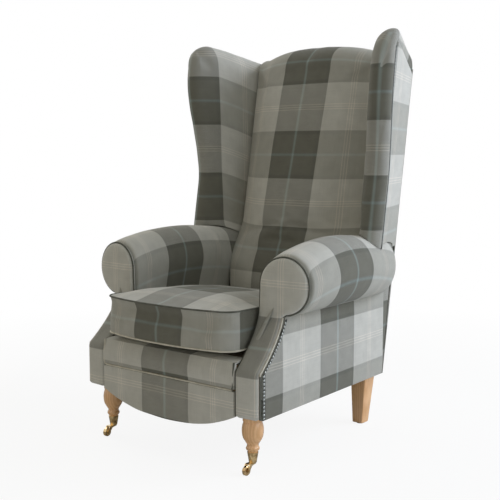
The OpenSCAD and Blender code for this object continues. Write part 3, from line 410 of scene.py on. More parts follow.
@dataclass(frozen=True)
class CheckedWool(Finish):
    """Brushed wool woven in a grey check, with fine teal and cream lines."""

    name: str = "woven_check"
    warp: Yarns = Yarns(light=(208, 207, 200), shade=(87, 87, 77), charcoal=(76, 77, 70),
                        teal=(138, 156, 155), cream=(246, 238, 226), period=0.352)
    weft: Yarns = Yarns(light=(208, 207, 200), shade=(142, 141, 131), charcoal=(130, 130, 122),
                        teal=(160, 171, 168), cream=(246, 238, 226), period=0.300)
    thread: float = 0.0013
    streak_fine: float = 900
    streak_long: float = 14
    worn: Rgb = (243, 243, 243)
    streak: Rgb = (234, 234, 232)
    clean: Rgb = (255, 255, 255)

    def build(self) -> bpy.types.Material:
        """Weaves warp and weft in a fine twill."""
        g = Graph.of_material(self.name)
        uv, across, along = g.cloth()
        warp = self._yarn(g, across, self.warp, g.stretch(uv, (self.streak_fine, self.streak_long, 1)))
        weft = self._yarn(g, along, self.weft, g.stretch(uv, (self.streak_long, self.streak_fine, 1)))
        turn = 2 * math.pi / self.thread
        twill = ((across + along) * (turn / 2)).wave()
        rib = (across * turn).wave() * (along * turn).wave()
        woven = g.blend(0.5 + twill * 0.17 + rib * 0.08, warp, weft)
        felted = g.fade(g.mottle(uv, 26.0, 2.0), (0.3, self.worn), (0.7, self.clean))
        height = twill * 0.3 + rib * 0.25 + g.mottle(uv, 1400.0, 2.0)
        return g.shade(
            Base_Color=g.blend(1.0, woven, felted, "MULTIPLY"),
            Roughness=0.9,
            Sheen_Weight=0.12,
            Sheen_Roughness=0.45,
            Specular_IOR_Level=0.2,
            Normal=g.bump(height, 0.35, 0.0005),
        )

    def _yarn(self, g: Graph, where: Signal, yarns: Yarns, streak_at: Signal) -> Signal:
        """The colour of one set of yarns, a little uneven from thread to thread.

        Args:
            g: the cloth's graph.
            where: distance across the yarns.
            yarns: their colours.
            streak_at: the place of the threads' unevenness.

        Returns:
            The colour.
        """
        half = yarns.period / 2
        colour = g.fade(where.fold(half) / half, *yarns.stops())
        uneven = g.fade(g.mottle(streak_at, 1.0, 2.0), (0.25, self.streak), (0.75, self.clean))
        return g.blend(1.0, colour, uneven, "MULTIPLY")


@dataclass(frozen=True)
class PipedCord(Finish):
    """Covered piping cord, woven in one yarn."""

    name: str
    yarn: Rgb
    accent: Rgb

    def build(self) -> bpy.types.Material:
        """Weaves the cord's cover."""
        g = Graph.of_material(self.name)
        uv, across, along = g.cloth()
        bias = ((across + along) * 5200.0).wave()
        patch = g.mottle(uv, 45.0, 3.0) + bias * 0.05
        return g.shade(
            Base_Color=g.fade(patch, (0.3, self.accent), (0.65, self.yarn)),
            Roughness=0.88,
            Specular_IOR_Level=0.2,
            Normal=g.bump(bias, 0.15, 0.0003),
        )


@dataclass(frozen=True)
class LacqueredBeech(Finish):
    """Pale hardwood with an even grain under clear lacquer."""

    name: str = "lacquered_beech"
    pale: Rgb = (240, 192, 140)
    warm: Rgb = (222, 170, 116)
    fleck: Rgb = (190, 138, 90)
    gloss: float = 0.32
    ring_grain: Triple = (34, 34, 3.2)
    band_grain: Triple = (20, 12, 1.2)
    ray_grain: Triple = (900, 900, 60)
    lacquer_grain: Triple = (60, 60, 60)

    def build(self) -> bpy.types.Material:
        """Runs the grain up the legs."""
        g = Graph.of_material(self.name)
        rings = g.mottle(g.place(self.ring_grain))
        waves = {"Vector": g.place(self.band_grain), "Scale": 2.2, "Distortion": 7.0, "Detail": 3.0,
                 "Detail Scale": 1.4}
        bands = g.node("ShaderNodeTexWave", {}, waves, "Fac")
        tone = g.fade(rings * 0.6 + bands * 0.4, (0.25, self.warm), (0.75, self.pale))
        rays = g.mottle(g.place(self.ray_grain), 1.0, 1.0)
        flecks = g.fade(rays, (0.62, (0, 0, 0)), (0.72, (255, 255, 255)))
        return g.shade(
            Base_Color=g.blend(flecks * 0.4, tone, tint(*self.fleck)),
            Roughness=g.mottle(g.place(self.lacquer_grain), 1.0, 2.0) * 0.16 + (self.gloss - 0.06),
            Coat_Weight=0.45,
            Coat_Roughness=0.12,
            Normal=g.bump(rings, 0.12, 0.0006),
        )


@dataclass(frozen=True)
class AgedBrass(Finish):
    """Polished brass that has dulled a little in its hollows."""

    name: str = "aged_brass"
    bright: Rgb = (226, 200, 152)
    dull: Rgb = (160, 132, 92)
    grain: Triple = (90, 90, 90)

    def build(self) -> bpy.types.Material:
        """Mottles the metal."""
        g = Graph.of_material(self.name)
        cloud = g.mottle(g.place(self.grain))
        return g.shade(
            Base_Color=g.fade(cloud, (0.36, self.dull), (0.6, self.bright)),
            Metallic=1.0,
            Roughness=0.34 - cloud * 0.2,
            Normal=g.bump(cloud, 0.1, 0.0004),
        )


@dataclass(frozen=True)
class PlainSurface(Finish):
    """A plain material with cloudy colour, a grain and a metal share."""

    name: str
    low: Rgb
    high: Rgb
    grain: Triple
    rough: float
    metal: float = 0.0
    relief: float = 0.0004

    def build(self) -> bpy.types.Material:
        """Clouds the colour and roughens the surface."""
        g = Graph.of_material(self.name)
        cloud = g.mottle(g.place(self.grain))
        return g.shade(
            Base_Color=g.fade(cloud, (0.3, self.low), (0.7, self.high)),
            Metallic=self.metal,
            Roughness=cloud * 0.2 + (self.rough - 0.1),
            Normal=g.bump(cloud, 0.3, self.relief),
        )


WOOL = CheckedWool()
PALE_CORD = PipedCord("pale_piping_cord", yarn=(216, 212, 198), accent=(190, 186, 172))
DARK_CORD = PipedCord("dark_piping_cord", yarn=(108, 109, 101), accent=(84, 86, 79))
BEECH = LacqueredBeech()
BRASS = AgedBrass()
PEWTER = PlainSurface("pewter_studs", (96, 98, 94), (186, 190, 186), (500, 500, 500), 0.42, metal=0.85)
GIMP = PlainSurface("dark_gimp", (44, 45, 42), (78, 79, 74), (700, 700, 700), 0.85)
TIMBER = PlainSurface("sawn_timber", (168, 132, 92), (206, 172, 128), (26, 26, 8), 0.7)
STEEL = PlainSurface("drawn_steel", (84, 86, 90), (138, 140, 144), (400, 400, 400), 0.4, metal=0.9)
JUTE = PlainSurface("jute_webbing", (138, 112, 76), (182, 154, 112), (800, 60, 800), 0.9)
FELT = PlainSurface("pressed_felt", (88, 76, 62), (132, 118, 100), (420, 420, 420), 0.95)
LINING = PlainSurface("black_lining", (18, 18, 18), (38, 38, 38), (900, 900, 900), 0.9)
ZIP = PlainSurface("zip_coil", (40, 40, 40), (84, 84, 82), (1500, 200, 200), 0.6)
GLIDE = PlainSurface("glide_nylon", (26, 26, 26), (46, 46, 46), (200, 200, 200), 0.5)


@dataclass(frozen=True)
class ChairForm:
    """The chair's governing shapes, in metres, for its right-hand half.

    A depth is counted from the foot of the arm fronts. A reach is counted along a wing from its
    rear edge.
    """

    origin_y: float = -0.384479
    body_d: float = 0.659
    leg_h: float = 0.153
    front_half_w: float = 0.324
    rear_half_w: float = 0.269
    overall_h: float = 1.170
    arm_w: float = 0.080
    roll_z: float = 0.404
    roll_r: float = 0.078
    roll_swell: float = 0.017
    bend_z: float = 0.272
    facing_sweep: float = 0.105
    facing_t: float = 0.014
    deck_z: float = 0.298
    back_bend_z: float = 0.4203
    back_low_y: float = 0.457
    back_low_half_w: float = 0.196
    back_high_half_w: float = 0.240
    seam_low_y: float = 0.481
    seam_low_z: float = 0.4593
    seam_spread_h: float = 0.155
    seam_ahead: float = 0.133
    cap_z: float = 1.07727
    cap_h: float = 0.03906
    crest_z: float = 1.162
    rear_end_y: float = 0.81006
    pad_rear: float = 0.0437
    cover_t: float = 0.005
    gap: float = 0.0003
    clear: float = 0.0015
    wing_t: float = 0.063
    wing_nose: float = 0.028
    wing_foot_z: float = 0.5405
    wing_low_reach: float = 0.238
    wing_high_reach: float = 0.320
    reach_low_z: float = 0.71676
    reach_high_z: float = 1.0944
    tip_reach: float = 0.285
    tip_r: float = 0.063
    tip_rise: float = 0.0693
    rake: float = math.radians(9.3)
    inside_rake: float = math.radians(15.2)
    flare: float = math.radians(21.3)
    warp: float = WOOL.warp.period
    cloth_z: float = 0.8165
    half_weft: float = 0.15

    @property
    def splay(self) -> float:
        """Turn of an arm towards the rear."""
        return math.atan((self.front_half_w - self.rear_half_w) / self.body_d)

    @property
    def lean(self) -> float:
        """Lean of a wing's outside face."""
        return math.atan(math.tan(self.rake) * math.sin(self.flare))

    @property
    def above_roll(self) -> float:
        """A height over the whole arm roll."""
        return self.roll_z + 2 * self.roll_r

    def set(self, x: float, y: float, z: float) -> Vector:
        """A point counted from the foot of the arm fronts, in the shared frame."""
        return Vector((x, y + self.origin_y, z))

    def depth(self, p: Vector) -> float:
        """Depth of a point of the shared frame."""
        return p.y - self.origin_y

    def arm(self, t: float, v: float, z: float) -> Vector:
        """A point t outside the arm's panel, v back along it and z up."""
        s = self.splay
        x = self.front_half_w + t * math.cos(s) - v * math.sin(s)
        return self.set(x, t * math.sin(s) + v * math.cos(s), z)

    def rear_y(self, z: float) -> float:
        """Depth of the outside back at a height."""
        return self.body_d + (z - self.leg_h) * math.tan(self.rake)

    def facing_v(self, z: float) -> float:
        """Sweep of an arm facing at a height."""
        share = clamp01((z - self.bend_z) / (self.roll_z + self.facing_t - self.bend_z))
        return self.facing_sweep * (1 - (1 - share) ** 1.6)

    def roll_end_v(self, t: float, z: float) -> float:
        """Where the arm roll meets the back."""
        s = self.splay
        rear = self.rear_y(z) - (self.pad_rear + self.cover_t) / math.cos(self.rake)
        return (rear - t * math.sin(s)) / math.cos(s)

    def roll_high(self, w: float) -> float:
        """Upright radius of the roll at a share of its length."""
        return self.roll_r + self.roll_swell * math.sin(math.pi * clamp01(w) ** 0.8)

    def roll_wide(self, w: float) -> float:
        """Outward radius of the roll at a share of its length."""
        length = self.roll_end_v(0, self.roll_z + self.roll_r) - self.facing_sweep
        tail = clamp01(1 - (1 - w) * length / (self.roll_r * 1.5))
        return self.roll_high(w) * (1 - 0.65 * tail**1.8)

    def over_roll(self, p: Vector) -> float:
        """Height of the arm roll's surface under a plan place."""
        s = self.splay
        x, y = p.x, p.y - self.origin_y
        t = (x - self.front_half_w) * math.cos(s) + y * math.sin(s)
        v = (self.front_half_w - x) * math.sin(s) + y * math.cos(s)
        end = self.roll_end_v(t, self.above_roll)
        w = clamp01((v - self.facing_sweep) / (end - self.facing_sweep))
        high = self.roll_high(w) + self.clear
        wide = self.roll_wide(w) + self.clear if t > 0 else high
        return self.roll_z + self.roll_high(w) + high * math.sqrt(max(0.0, 1 - (t / wide) ** 2))

    def back_half_w(self, z: float) -> float:
        """Half width of the inside back at a height."""
        return mix(self.back_low_half_w, self.back_high_half_w, self.seam_rise(z))

    def seam_rise(self, z: float) -> float:
        """Share by which the back has spread from the cushion to the wings."""
        return ease((z - self.seam_low_z) / self.seam_spread_h)

    def back_edge_y(self, z: float) -> float:
        """Depth of the side edges of the inside back."""
        return mix(self.seam_low_y, self.rear_y(z) - self.seam_ahead, self.seam_rise(z))

    def back_front_y(self, z: float) -> float:
        """Depth of the middle of the inside back."""
        return self.back_low_y + max(0.0, z - self.back_bend_z) * math.tan(self.inside_rake)

    def pad_rear_y(self, z: float) -> float:
        """Depth of the rear face of the back's padding."""
        return self.rear_y(z) - (self.pad_rear + self.gap) / math.cos(self.rake)

    @property
    def ahead(self) -> Vector:
        """Direction of a wing's reach."""
        return Vector((math.sin(self.flare), -math.cos(self.flare), 0))

    @property
    def outward(self) -> Vector:
        """Direction out of a wing's outside face."""
        level = math.cos(self.lean)
        return Vector((level * math.cos(self.flare), level * math.sin(self.flare), -math.sin(self.lean)))

    def wing(self, s: float, d: float, z: float) -> Vector:
        """A point s along a wing and d below its outside face, at exactly the height z."""
        out = self.outward
        base_z = z + d * out.z
        return self.set(self.rear_half_w, self.rear_y(base_z), base_z) + s * self.ahead - d * out

    def wing_reach(self, z: float) -> float:
        """Reach of a wing's trim line at a height."""
        share = (z - self.reach_low_z) / (self.reach_high_z - self.reach_low_z)
        return mix(self.wing_low_reach, self.wing_high_reach, ease(share))

    def wing_top(self, s: float) -> float:
        """Height of a wing's cap along its reach."""
        if s < self.tip_reach:
            return self.overall_h - self.tip_rise * (1 - s / self.tip_reach) ** 1.1
        drop = math.sqrt(max(0.0, self.tip_r**2 - (s - self.tip_reach) ** 2))
        return self.overall_h - self.tip_r + drop


FORM = ChairForm()


class Former:
    """Makes closed meshes from stock grids and boxes that are then moved to a form."""

    @staticmethod
    def grid(rows: int, columns: int, place: Place, weave: Weave) -> bmesh.types.BMesh:
        """Bends a flat grid to a form and closes its open ends.

        Args:
            rows: faces along the first count.
            columns: faces along the second count.
            place: the point for a row and a column.
            weave: the cloth place for a row and a column.

        Returns:
            The closed mesh, facing outwards.
        """
        bm = bmesh.new()
        uv = bm.loops.layers.uv.new(UV_NAME)
        bmesh.ops.create_grid(bm, x_segments=rows, y_segments=columns, size=0.5)
        index = {v: (round((v.co.x + 0.5) * rows), round((v.co.y + 0.5) * columns)) for v in bm.verts}
        for face in bm.faces:
            for loop in face.loops:
                loop[uv].uv = weave(*index[loop.vert])
        for v, (i, j) in index.items():
            v.co = place(i, j)
        bmesh.ops.remove_doubles(bm, verts=bm.verts[:], dist=2e-5)
        edges = [e for e in bm.edges if e.is_boundary]
        if edges:
            bmesh.ops.holes_fill(bm, edges=edges, sides=0)
        bmesh.ops.recalc_face_normals(bm, faces=bm.faces[:])
        return bm

    @staticmethod
    def box(cuts: tuple[int, int, int], place: BoxPlace, weave: BoxWeave) -> bmesh.types.BMesh:
        """Bends a cut box to a form.

        Args:
            cuts: cuts across each axis.
            place: the point for three shares from -1 to 1.
            weave: the cloth place for the three shares and their point.

        Returns:
            The closed mesh, facing outwards.
        """
        bm = bmesh.new()
        uv = bm.loops.layers.uv.new(UV_NAME)
        bmesh.ops.create_cube(bm, size=2)
        for axis, count in enumerate(cuts):
            edges = [e for e in bm.edges if abs(e.verts[0].co[axis] - e.verts[1].co[axis]) > 1e-6]
            if count:
                bmesh.ops.subdivide_edges(bm, edges=edges, cuts=count, use_grid_fill=True)
        share = {v: v.co.copy() for v in bm.verts}
        point = {v: place(*share[v]) for v in bm.verts}
        for face in bm.faces:
            for loop in face.loops:
                loop[uv].uv = weave(share[loop.vert], point[loop.vert])
        for v, p in point.items():
            v.co = p
        bm.normal_update()
        bmesh.ops.recalc_face_normals(bm, faces=bm.faces[:])
        return bm

    @staticmethod
    def tube(path: Sequence[Vector], radius: float, closed: bool = False) -> bmesh.types.BMesh:
        """A round cord along a path.

        Args:
            path: its centre line.
            radius: its radius.
            closed: whether the ends meet.

        Returns:
            The cord's mesh.
        """
        sides = 12
        n = len(path)
        rows = n if closed else n - 1
        frames = []
        up = Vector((0.13, 0.21, 0.97)).normalized()
        for i in range(n):
            before = path[(i - 1) % n] if closed else path[max(0, i - 1)]
            after = path[(i + 1) % n] if closed else path[min(n - 1, i + 1)]
            along = (after - before).normalized()
            up = (up - up.dot(along) * along).normalized()
            frames.append((up.copy(), along.cross(up)))
        twist = 0.0
        if closed:
            first_up, first_side = frames[0]
            along = (path[1] - path[n - 1]).normalized()
            last = (up - up.dot(along) * along).normalized()
            twist = math.atan2(last.dot(first_side), last.dot(first_up))
        length = running([*path, path[0]])

        def place(i: int, j: int) -> Vector:
            """A point of the cord's skin."""
            rise, across = frames[i % n]
            turn = 2 * math.pi * j / sides - twist * (i % n) / n
            return path[i % n] + radius * (math.cos(turn) * rise + math.sin(turn) * across)

        return Former.grid(rows, sides, place, lambda i, j: (length[i], 2 * math.pi * radius * j / sides))


class Workshop:
    """Turns meshes into finished pieces that ride on the frame."""

    def __init__(self) -> None:
        """Starts with no pieces."""
        self.count = 0

    def piece(
        self,
        name: str,
        bm: bmesh.types.BMesh,
        finish: Finish,
        sharp: float = 50.0,
    ) -> bpy.types.Object:
        """Makes an object from a mesh.

        Args:
            name: the piece's name.
            bm: its mesh, which is used up.
            finish: its surface.
            sharp: edges folded by more than this, in degrees, stay crisp.

        Returns:
            The new object, at the origin.
        """
        limit = math.radians(sharp)
        for face in bm.faces:
            face.smooth = True
        for edge in bm.edges:
            if len(edge.link_faces) == 2 and edge.calc_face_angle(0.0) > limit:
                edge.smooth = False
        obj = mesh_object(name, bm)
        obj.data.materials.append(finish.material())
        self.count += 1
        LOG.info("piece %s: %d faces", name, len(obj.data.polygons))
        return obj

    def twin(self, obj: bpy.types.Object, name: str, recut: tuple[float, float]) -> bpy.types.Object:
        """A mirror image of a right-hand piece.

        Args:
            obj: the right-hand piece.
            name: the new piece's name.
            recut: stretch and shift of its cloth along the first weave direction.

        Returns:
            The left-hand piece.
        """
        bm = bmesh.new()
        bm.from_mesh(obj.data)
        bmesh.ops.scale(bm, vec=(-1, 1, 1), verts=bm.verts[:])
        bmesh.ops.reverse_faces(bm, faces=bm.faces[:])
        uv = bm.loops.layers.uv[UV_NAME]
        for face in bm.faces:
            for loop in face.loops:
                loop[uv].uv.x = loop[uv].uv.x * recut[0] + recut[1]
        made = mesh_object(name, bm)
        made.data.materials.append(obj.data.materials[0])
        if any(modifier.type == "SUBSURF" for modifier in obj.modifiers):
            self.soften(made)
        self.count += 1
        LOG.info("piece %s: mirror of %s", name, obj.name)
        return made

    @staticmethod
    def fit(
        obj: bpy.types.Object,
        body: Body,
        slot: Slot,
        nodes: Sequence[str],
        fill: float | None = None,
    ) -> None:
        """Hangs a piece on its body and hides the CAD nodes that it replaces.

        Args:
            obj: the finished piece.
            body: the body that it moves with.
            slot: the record's slot for its finish; not used.
            nodes: the CAD nodes that it replaces.
            fill: how full a padded piece is, or None for any other piece; not used.
        """
        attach(obj, body.value)
        if nodes:
            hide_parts(*nodes)

    def pair(
        self,
        obj: bpy.types.Object,
        slot: Slot,
        node: str,
        fill: float | None = None,
        recut: tuple[float, float] = (1.0, 0.0),
    ) -> None:
        """Hangs a right-hand piece on the chair's frame, and its mirror image on the left.

        Args:
            obj: the finished right-hand piece, whose name ends in its side.
            slot: the record's slot for its finish.
            node: the CAD node that it replaces, without the side, or nothing.
            fill: how full a padded piece is, or None for any other piece.
            recut: stretch and shift of the left one's cloth along the first weave direction.
        """
        left = self.twin(obj, obj.name.replace(Side.RIGHT.value, Side.LEFT.value), recut)
        for side, piece in ((Side.RIGHT, obj), (Side.LEFT, left)):
            self.fit(piece, Body.FRAME, slot, [f"{node}_{side.value}"] if node else [], fill)

    @staticmethod
    def soften(obj: bpy.types.Object) -> None:
        """Rounds a piece with one live subdivision."""
        modifier = obj.modifiers.new("soften", "SUBSURF")
        modifier.levels = 1
        modifier.render_levels = 1


@dataclass(frozen=True)
class Hollows:
    """Slow, shallow unevenness of a padded surface: its greatest rise and the width of a hollow."""

    height: float
    width: float

    def press(self, obj: bpy.types.Object, free: Give) -> None:
        """Moves a piece's points up and down.

        Args:
            obj: the piece.
            free: how much each point may move, from 0 to 1.
        """
        mesh = obj.data
        for v in mesh.vertices:
            share = free(v.co)
            if share > 0:
                v.co += v.normal * self.height * share * noise.noise(v.co / self.width)
        mesh.update()


@dataclass(frozen=True)
class Swelling:
    """Cloth simulation that puffs a padded piece from the inside.

    The cap is the furthest that a point may move, and the pressure is the air's inside.
    """

    cap: float
    hollows: Hollows
    pressure: float = 4.0
    frames: int = 20

    def fill(self, obj: bpy.types.Object, give: Give) -> None:
        """Args:
            obj: a closed piece.
            give: how freely each point moves, from 0 (held by a seam) to 1.
        """
        self._puff(obj, give)
        self.hollows.press(obj, give)

    def _puff(self, obj: bpy.types.Object, give: Give) -> None:
        """Puffs a piece and keeps the result in its mesh.

        Args:
            obj: a closed piece.
            give: how freely each point moves, from 0 (held by a seam) to 1.
        """
        mesh = obj.data
        rest = [v.co.copy() for v in mesh.vertices]
        freedom = [give(co) for co in rest]
        group = obj.vertex_groups.new(name="held")
        group.add([i for i, share in enumerate(freedom) if share <= 0], 1.0, "REPLACE")
        modifier = obj.modifiers.new("puff", "CLOTH")
        settings = modifier.settings
        settings.quality = 5
        settings.use_pressure = True
        settings.uniform_pressure_force = self.pressure
        settings.vertex_group_mass = group.name
        settings.effector_weights.gravity = 0.0
        modifier.point_cache.frame_start = 1
        modifier.point_cache.frame_end = self.frames
        scene = bpy.context.scene
        for frame in range(1, self.frames + 1):
            scene.frame_set(frame)
        evaluated = obj.evaluated_get(bpy.context.evaluated_depsgraph_get())
        moved = [v.co.copy() for v in evaluated.data.vertices]
        obj.modifiers.remove(modifier)
        obj.vertex_groups.remove(group)
        scene.frame_set(1)
        furthest = 0.0
        for v, start, end, share in zip(mesh.vertices, rest, moved, freedom):
            step = end - start
            length = step.length
            furthest = max(furthest, length)
            if length > 1e-7:
                v.co = start + step * (self.cap * share * math.tanh(length / self.cap) / length)
        mesh.update()
        LOG.info("puffed %s: cloth moved %.1f mm at most", obj.name, furthest * 1000)


@dataclass
class SeatCushion:
    """The loose seat cushion: a boxed pad with piped seams and a bowed front."""

    half_gap: float = 0.0833
    bow: float = 0.041
    rear: float = 0.4564
    corner: float = 0.0492
    low_seam: float = 0.3183
    high_seam: float = 0.4203
    fall: float = 0.033
    crown: float = 0.016
    belly: float = 0.020
    cords: float = 0.0024
    draw_in: float = 0.0025
    rings: int = 18
    band: int = 12
    half_steps: int = 64
    top_cloth_y: float = 0.11
    border_cloth_z: float = 0.369
    swelling: Swelling = Swelling(0.011, Hollows(0.0022, 0.09))
    seam_hold: float = 0.02
    flank_hold: float = 0.05
    front_edge: float = 0.02
    front_hold: float = 0.03
    rear_hold: float = 0.04

    def half_w(self, y: float) -> float:
        """Half width of the cushion at a depth."""
        s = FORM.splay
        return FORM.front_half_w - self.half_gap / math.cos(s) - y * math.tan(s)

    def top_seam(self, y: float) -> float:
        """Height of the upper seam, which falls to the rear."""
        return self.high_seam - self.fall * clamp01(y / self.rear) ** 2

    def front_y(self, u: float) -> float:
        """Depth of the bowed front at a share of its half width."""
        return -self.bow * (1 - 0.55 * abs(u) ** 2.3)

    def outline(self) -> list[Vector]:
        """Half of the seam line, from the middle of the front to the middle of the rear, level."""
        bow_steps, turn_steps = 24, 12
        corner_y = self.front_y(1) + self.corner
        corner_x = self.half_w(corner_y) - self.corner
        points = []
        for k in range(bow_steps + 1):
            points.append(Vector((corner_x * k / bow_steps, self.front_y(k / bow_steps), 0)))
        for k in range(1, turn_steps + 1):
            a = math.radians(-90 + 90 * k / turn_steps)
            x, y = corner_x + self.corner * math.cos(a), corner_y + self.corner * math.sin(a)
            points.append(Vector((x, y, 0)))
        small = self.corner / 3
        for k in range(1, turn_steps + 1):
            y = mix(corner_y, self.rear - small, k / turn_steps)
            points.append(Vector((self.half_w(y), y, 0)))
        end = self.half_w(self.rear)
        points.append(Vector((end - small * 0.3, self.rear - small * 0.3, 0)))
        points += [Vector((x, self.rear, 0)) for x in (end - small, end / 2, 0)]
        return even_steps(points, self.half_steps)

    def build(self, shop: Workshop) -> None:
        """Makes the cushion and its piping."""
        half = self.outline()
        loop = half + [Vector((-p.x, p.y, 0)) for p in reversed(half[1:-1])]
        n = len(loop)
        length = running([*loop, loop[0]])
        centre = Vector((0, (self.rear - self.bow) / 2, 0))
        low_row = self.rings + self.band
        levels = self.rings + low_row

        def point(i: int, j: int) -> Vector:
            """A point of the cover, from the top's middle over the border to the bottom's."""
            p = loop[j % n]
            inward = (centre - p).normalized() * self.draw_in
            if self.rings < i < low_row:
                down = (i - self.rings) / self.band
                q = p + inward * (1 - math.sin(math.pi * down))
                return Vector((q.x, q.y, mix(self.top_seam(p.y), self.low_seam, down)))
            share = math.sin(math.pi / 2 * min(i, levels - i) / self.rings)
            q = centre + (p + inward - centre) * share
            dome = 1 - share**3.4
            top, bottom = self.top_seam(q.y) + self.crown * dome, self.low_seam - self.belly * dome
            return Vector((q.x, q.y, top if i <= self.rings else bottom))

        def place(i: int, j: int) -> Vector:
            """The same point in the shared frame."""
            return FORM.set(*point(i, j))

        def weave(i: int, j: int) -> ClothPlace:
            """The check runs straight over the faces, and round the border both ways from its front."""
            q = point(i, j)
            if self.rings <= i <= low_row:
                around = length[j] if length[j] <= length[n] / 2 else length[j] - length[n]
                return around, q.z - self.border_cloth_z
            return q.x, q.y + self.top_cloth_y

        cushion = shop.piece("seat_cushion_cover", Former.grid(levels, n, place, weave), WOOL, 60)
        self.swelling.fill(cushion, self._give)
        shop.soften(cushion)
        shop.fit(cushion, Body.CUSHION, Slot.WOOL, ["seat_cushion"], 0.75)
        for edge, row, finish, slot in (
            ("top", self.rings, DARK_CORD, Slot.DARK_PIPING),
            ("bottom", low_row, PALE_CORD, Slot.PALE_PIPING),
        ):
            path = [place(row, j) for j in range(n)]
            cord = shop.piece(f"cushion_cord_{edge}", Former.tube(path, self.cords, closed=True), finish)
            shop.fit(cord, Body.CUSHION, slot, [f"cushion_piping_{edge}"])

    def _give(self, co: Vector) -> float:
        """Seams and the underside on the deck hold, and the flanks beside the arms hardly move."""
        if co.z < self.low_seam:
            return 0.0
        y = FORM.depth(co)
        near_seam = ease(min(abs(co.z - self.low_seam), abs(co.z - self.top_seam(y))) / self.seam_hold)
        flank = ease((self.half_w(y) - abs(co.x)) / self.flank_hold)
        front = ease((self.front_edge - y) / self.front_hold)
        rear = ease((self.rear - y) / self.rear_hold)
        return near_seam * max(flank, front) * max(0.05, rear)


@dataclass
class InsideBack:
    """The padded inside back, which rolls over the crest."""

    arch: float = 0.034
    cuts: tuple[int, int, int] = (44, 13, 72)
    crest_cloth: float = 0.115
    swelling: Swelling = Swelling(0.012, Hollows(0.0022, 0.11))
    edge_hold: float = 0.03
    foot_z: float = 0.33
    foot_hold: float = 0.08
    rear_hold: float = 0.05

    def build(self, shop: Workshop) -> None:
        """Makes the back's pad."""
        pad = shop.piece("inside_back_cover", Former.box(self.cuts, self._place, self._weave), WOOL, 60)
        self.swelling.fill(pad, self._give)
        shop.soften(pad)
        shop.fit(pad, Body.FRAME, Slot.WOOL, ["inside_back"], 0.65)

    def _place(self, a: float, c: float, b: float) -> Vector:
        """A point of the pad: a across, c from front to rear and b from foot to crest."""
        f = FORM
        top = f.crest_z - self.arch * abs(a) ** 2.2
        if self._on_crest(b):
            turn = math.pi * (c + 1) / 2
            z = f.cap_z + (top - f.cap_z) * math.sin(turn)
            y = mix(self._front(a, f.cap_z), f.rear_end_y, ((1 - math.cos(turn)) / 2) ** 1.35)
            return f.set(a * f.back_half_w(z), y, z)
        z = mix(f.deck_z + f.gap, f.cap_z, (b + 1) / 2)
        return f.set(a * f.back_half_w(z), mix(self._front(a, z), f.pad_rear_y(z), (c + 1) / 2), z)

    @staticmethod
    def _on_crest(b: float) -> bool:
        """Whether a share from foot to crest is on the box's top face."""
        return b > 0.999

    @staticmethod
    def _front(a: float, z: float) -> float:
        """Depth of the crowned front."""
        return mix(FORM.back_front_y(z), FORM.back_edge_y(z), abs(a) ** 2.6)

    def _weave(self, share: Vector, p: Vector) -> ClothPlace:
        """Cloth runs up the front and on over the crest."""
        v = (min(p.z, FORM.cap_z) - FORM.cloth_z) / math.cos(FORM.inside_rake)
        over = self.crest_cloth * (share.y + 1) if self._on_crest(share.z) else 0.0
        return p.x, v + over

    def _give(self, co: Vector) -> float:
        """The foot, the sides and the rear hold."""
        f = FORM
        y = f.depth(co)
        side = ease((f.back_half_w(co.z) - abs(co.x)) / self.edge_hold)
        foot = ease((co.z - self.foot_z) / self.foot_hold)
        rear = 1.0 if co.z > f.cap_z else ease((f.pad_rear_y(co.z) - y) / self.edge_hold)
        back_edge = ease((f.rear_end_y - y) / self.rear_hold)
        return side * foot * rear * back_edge


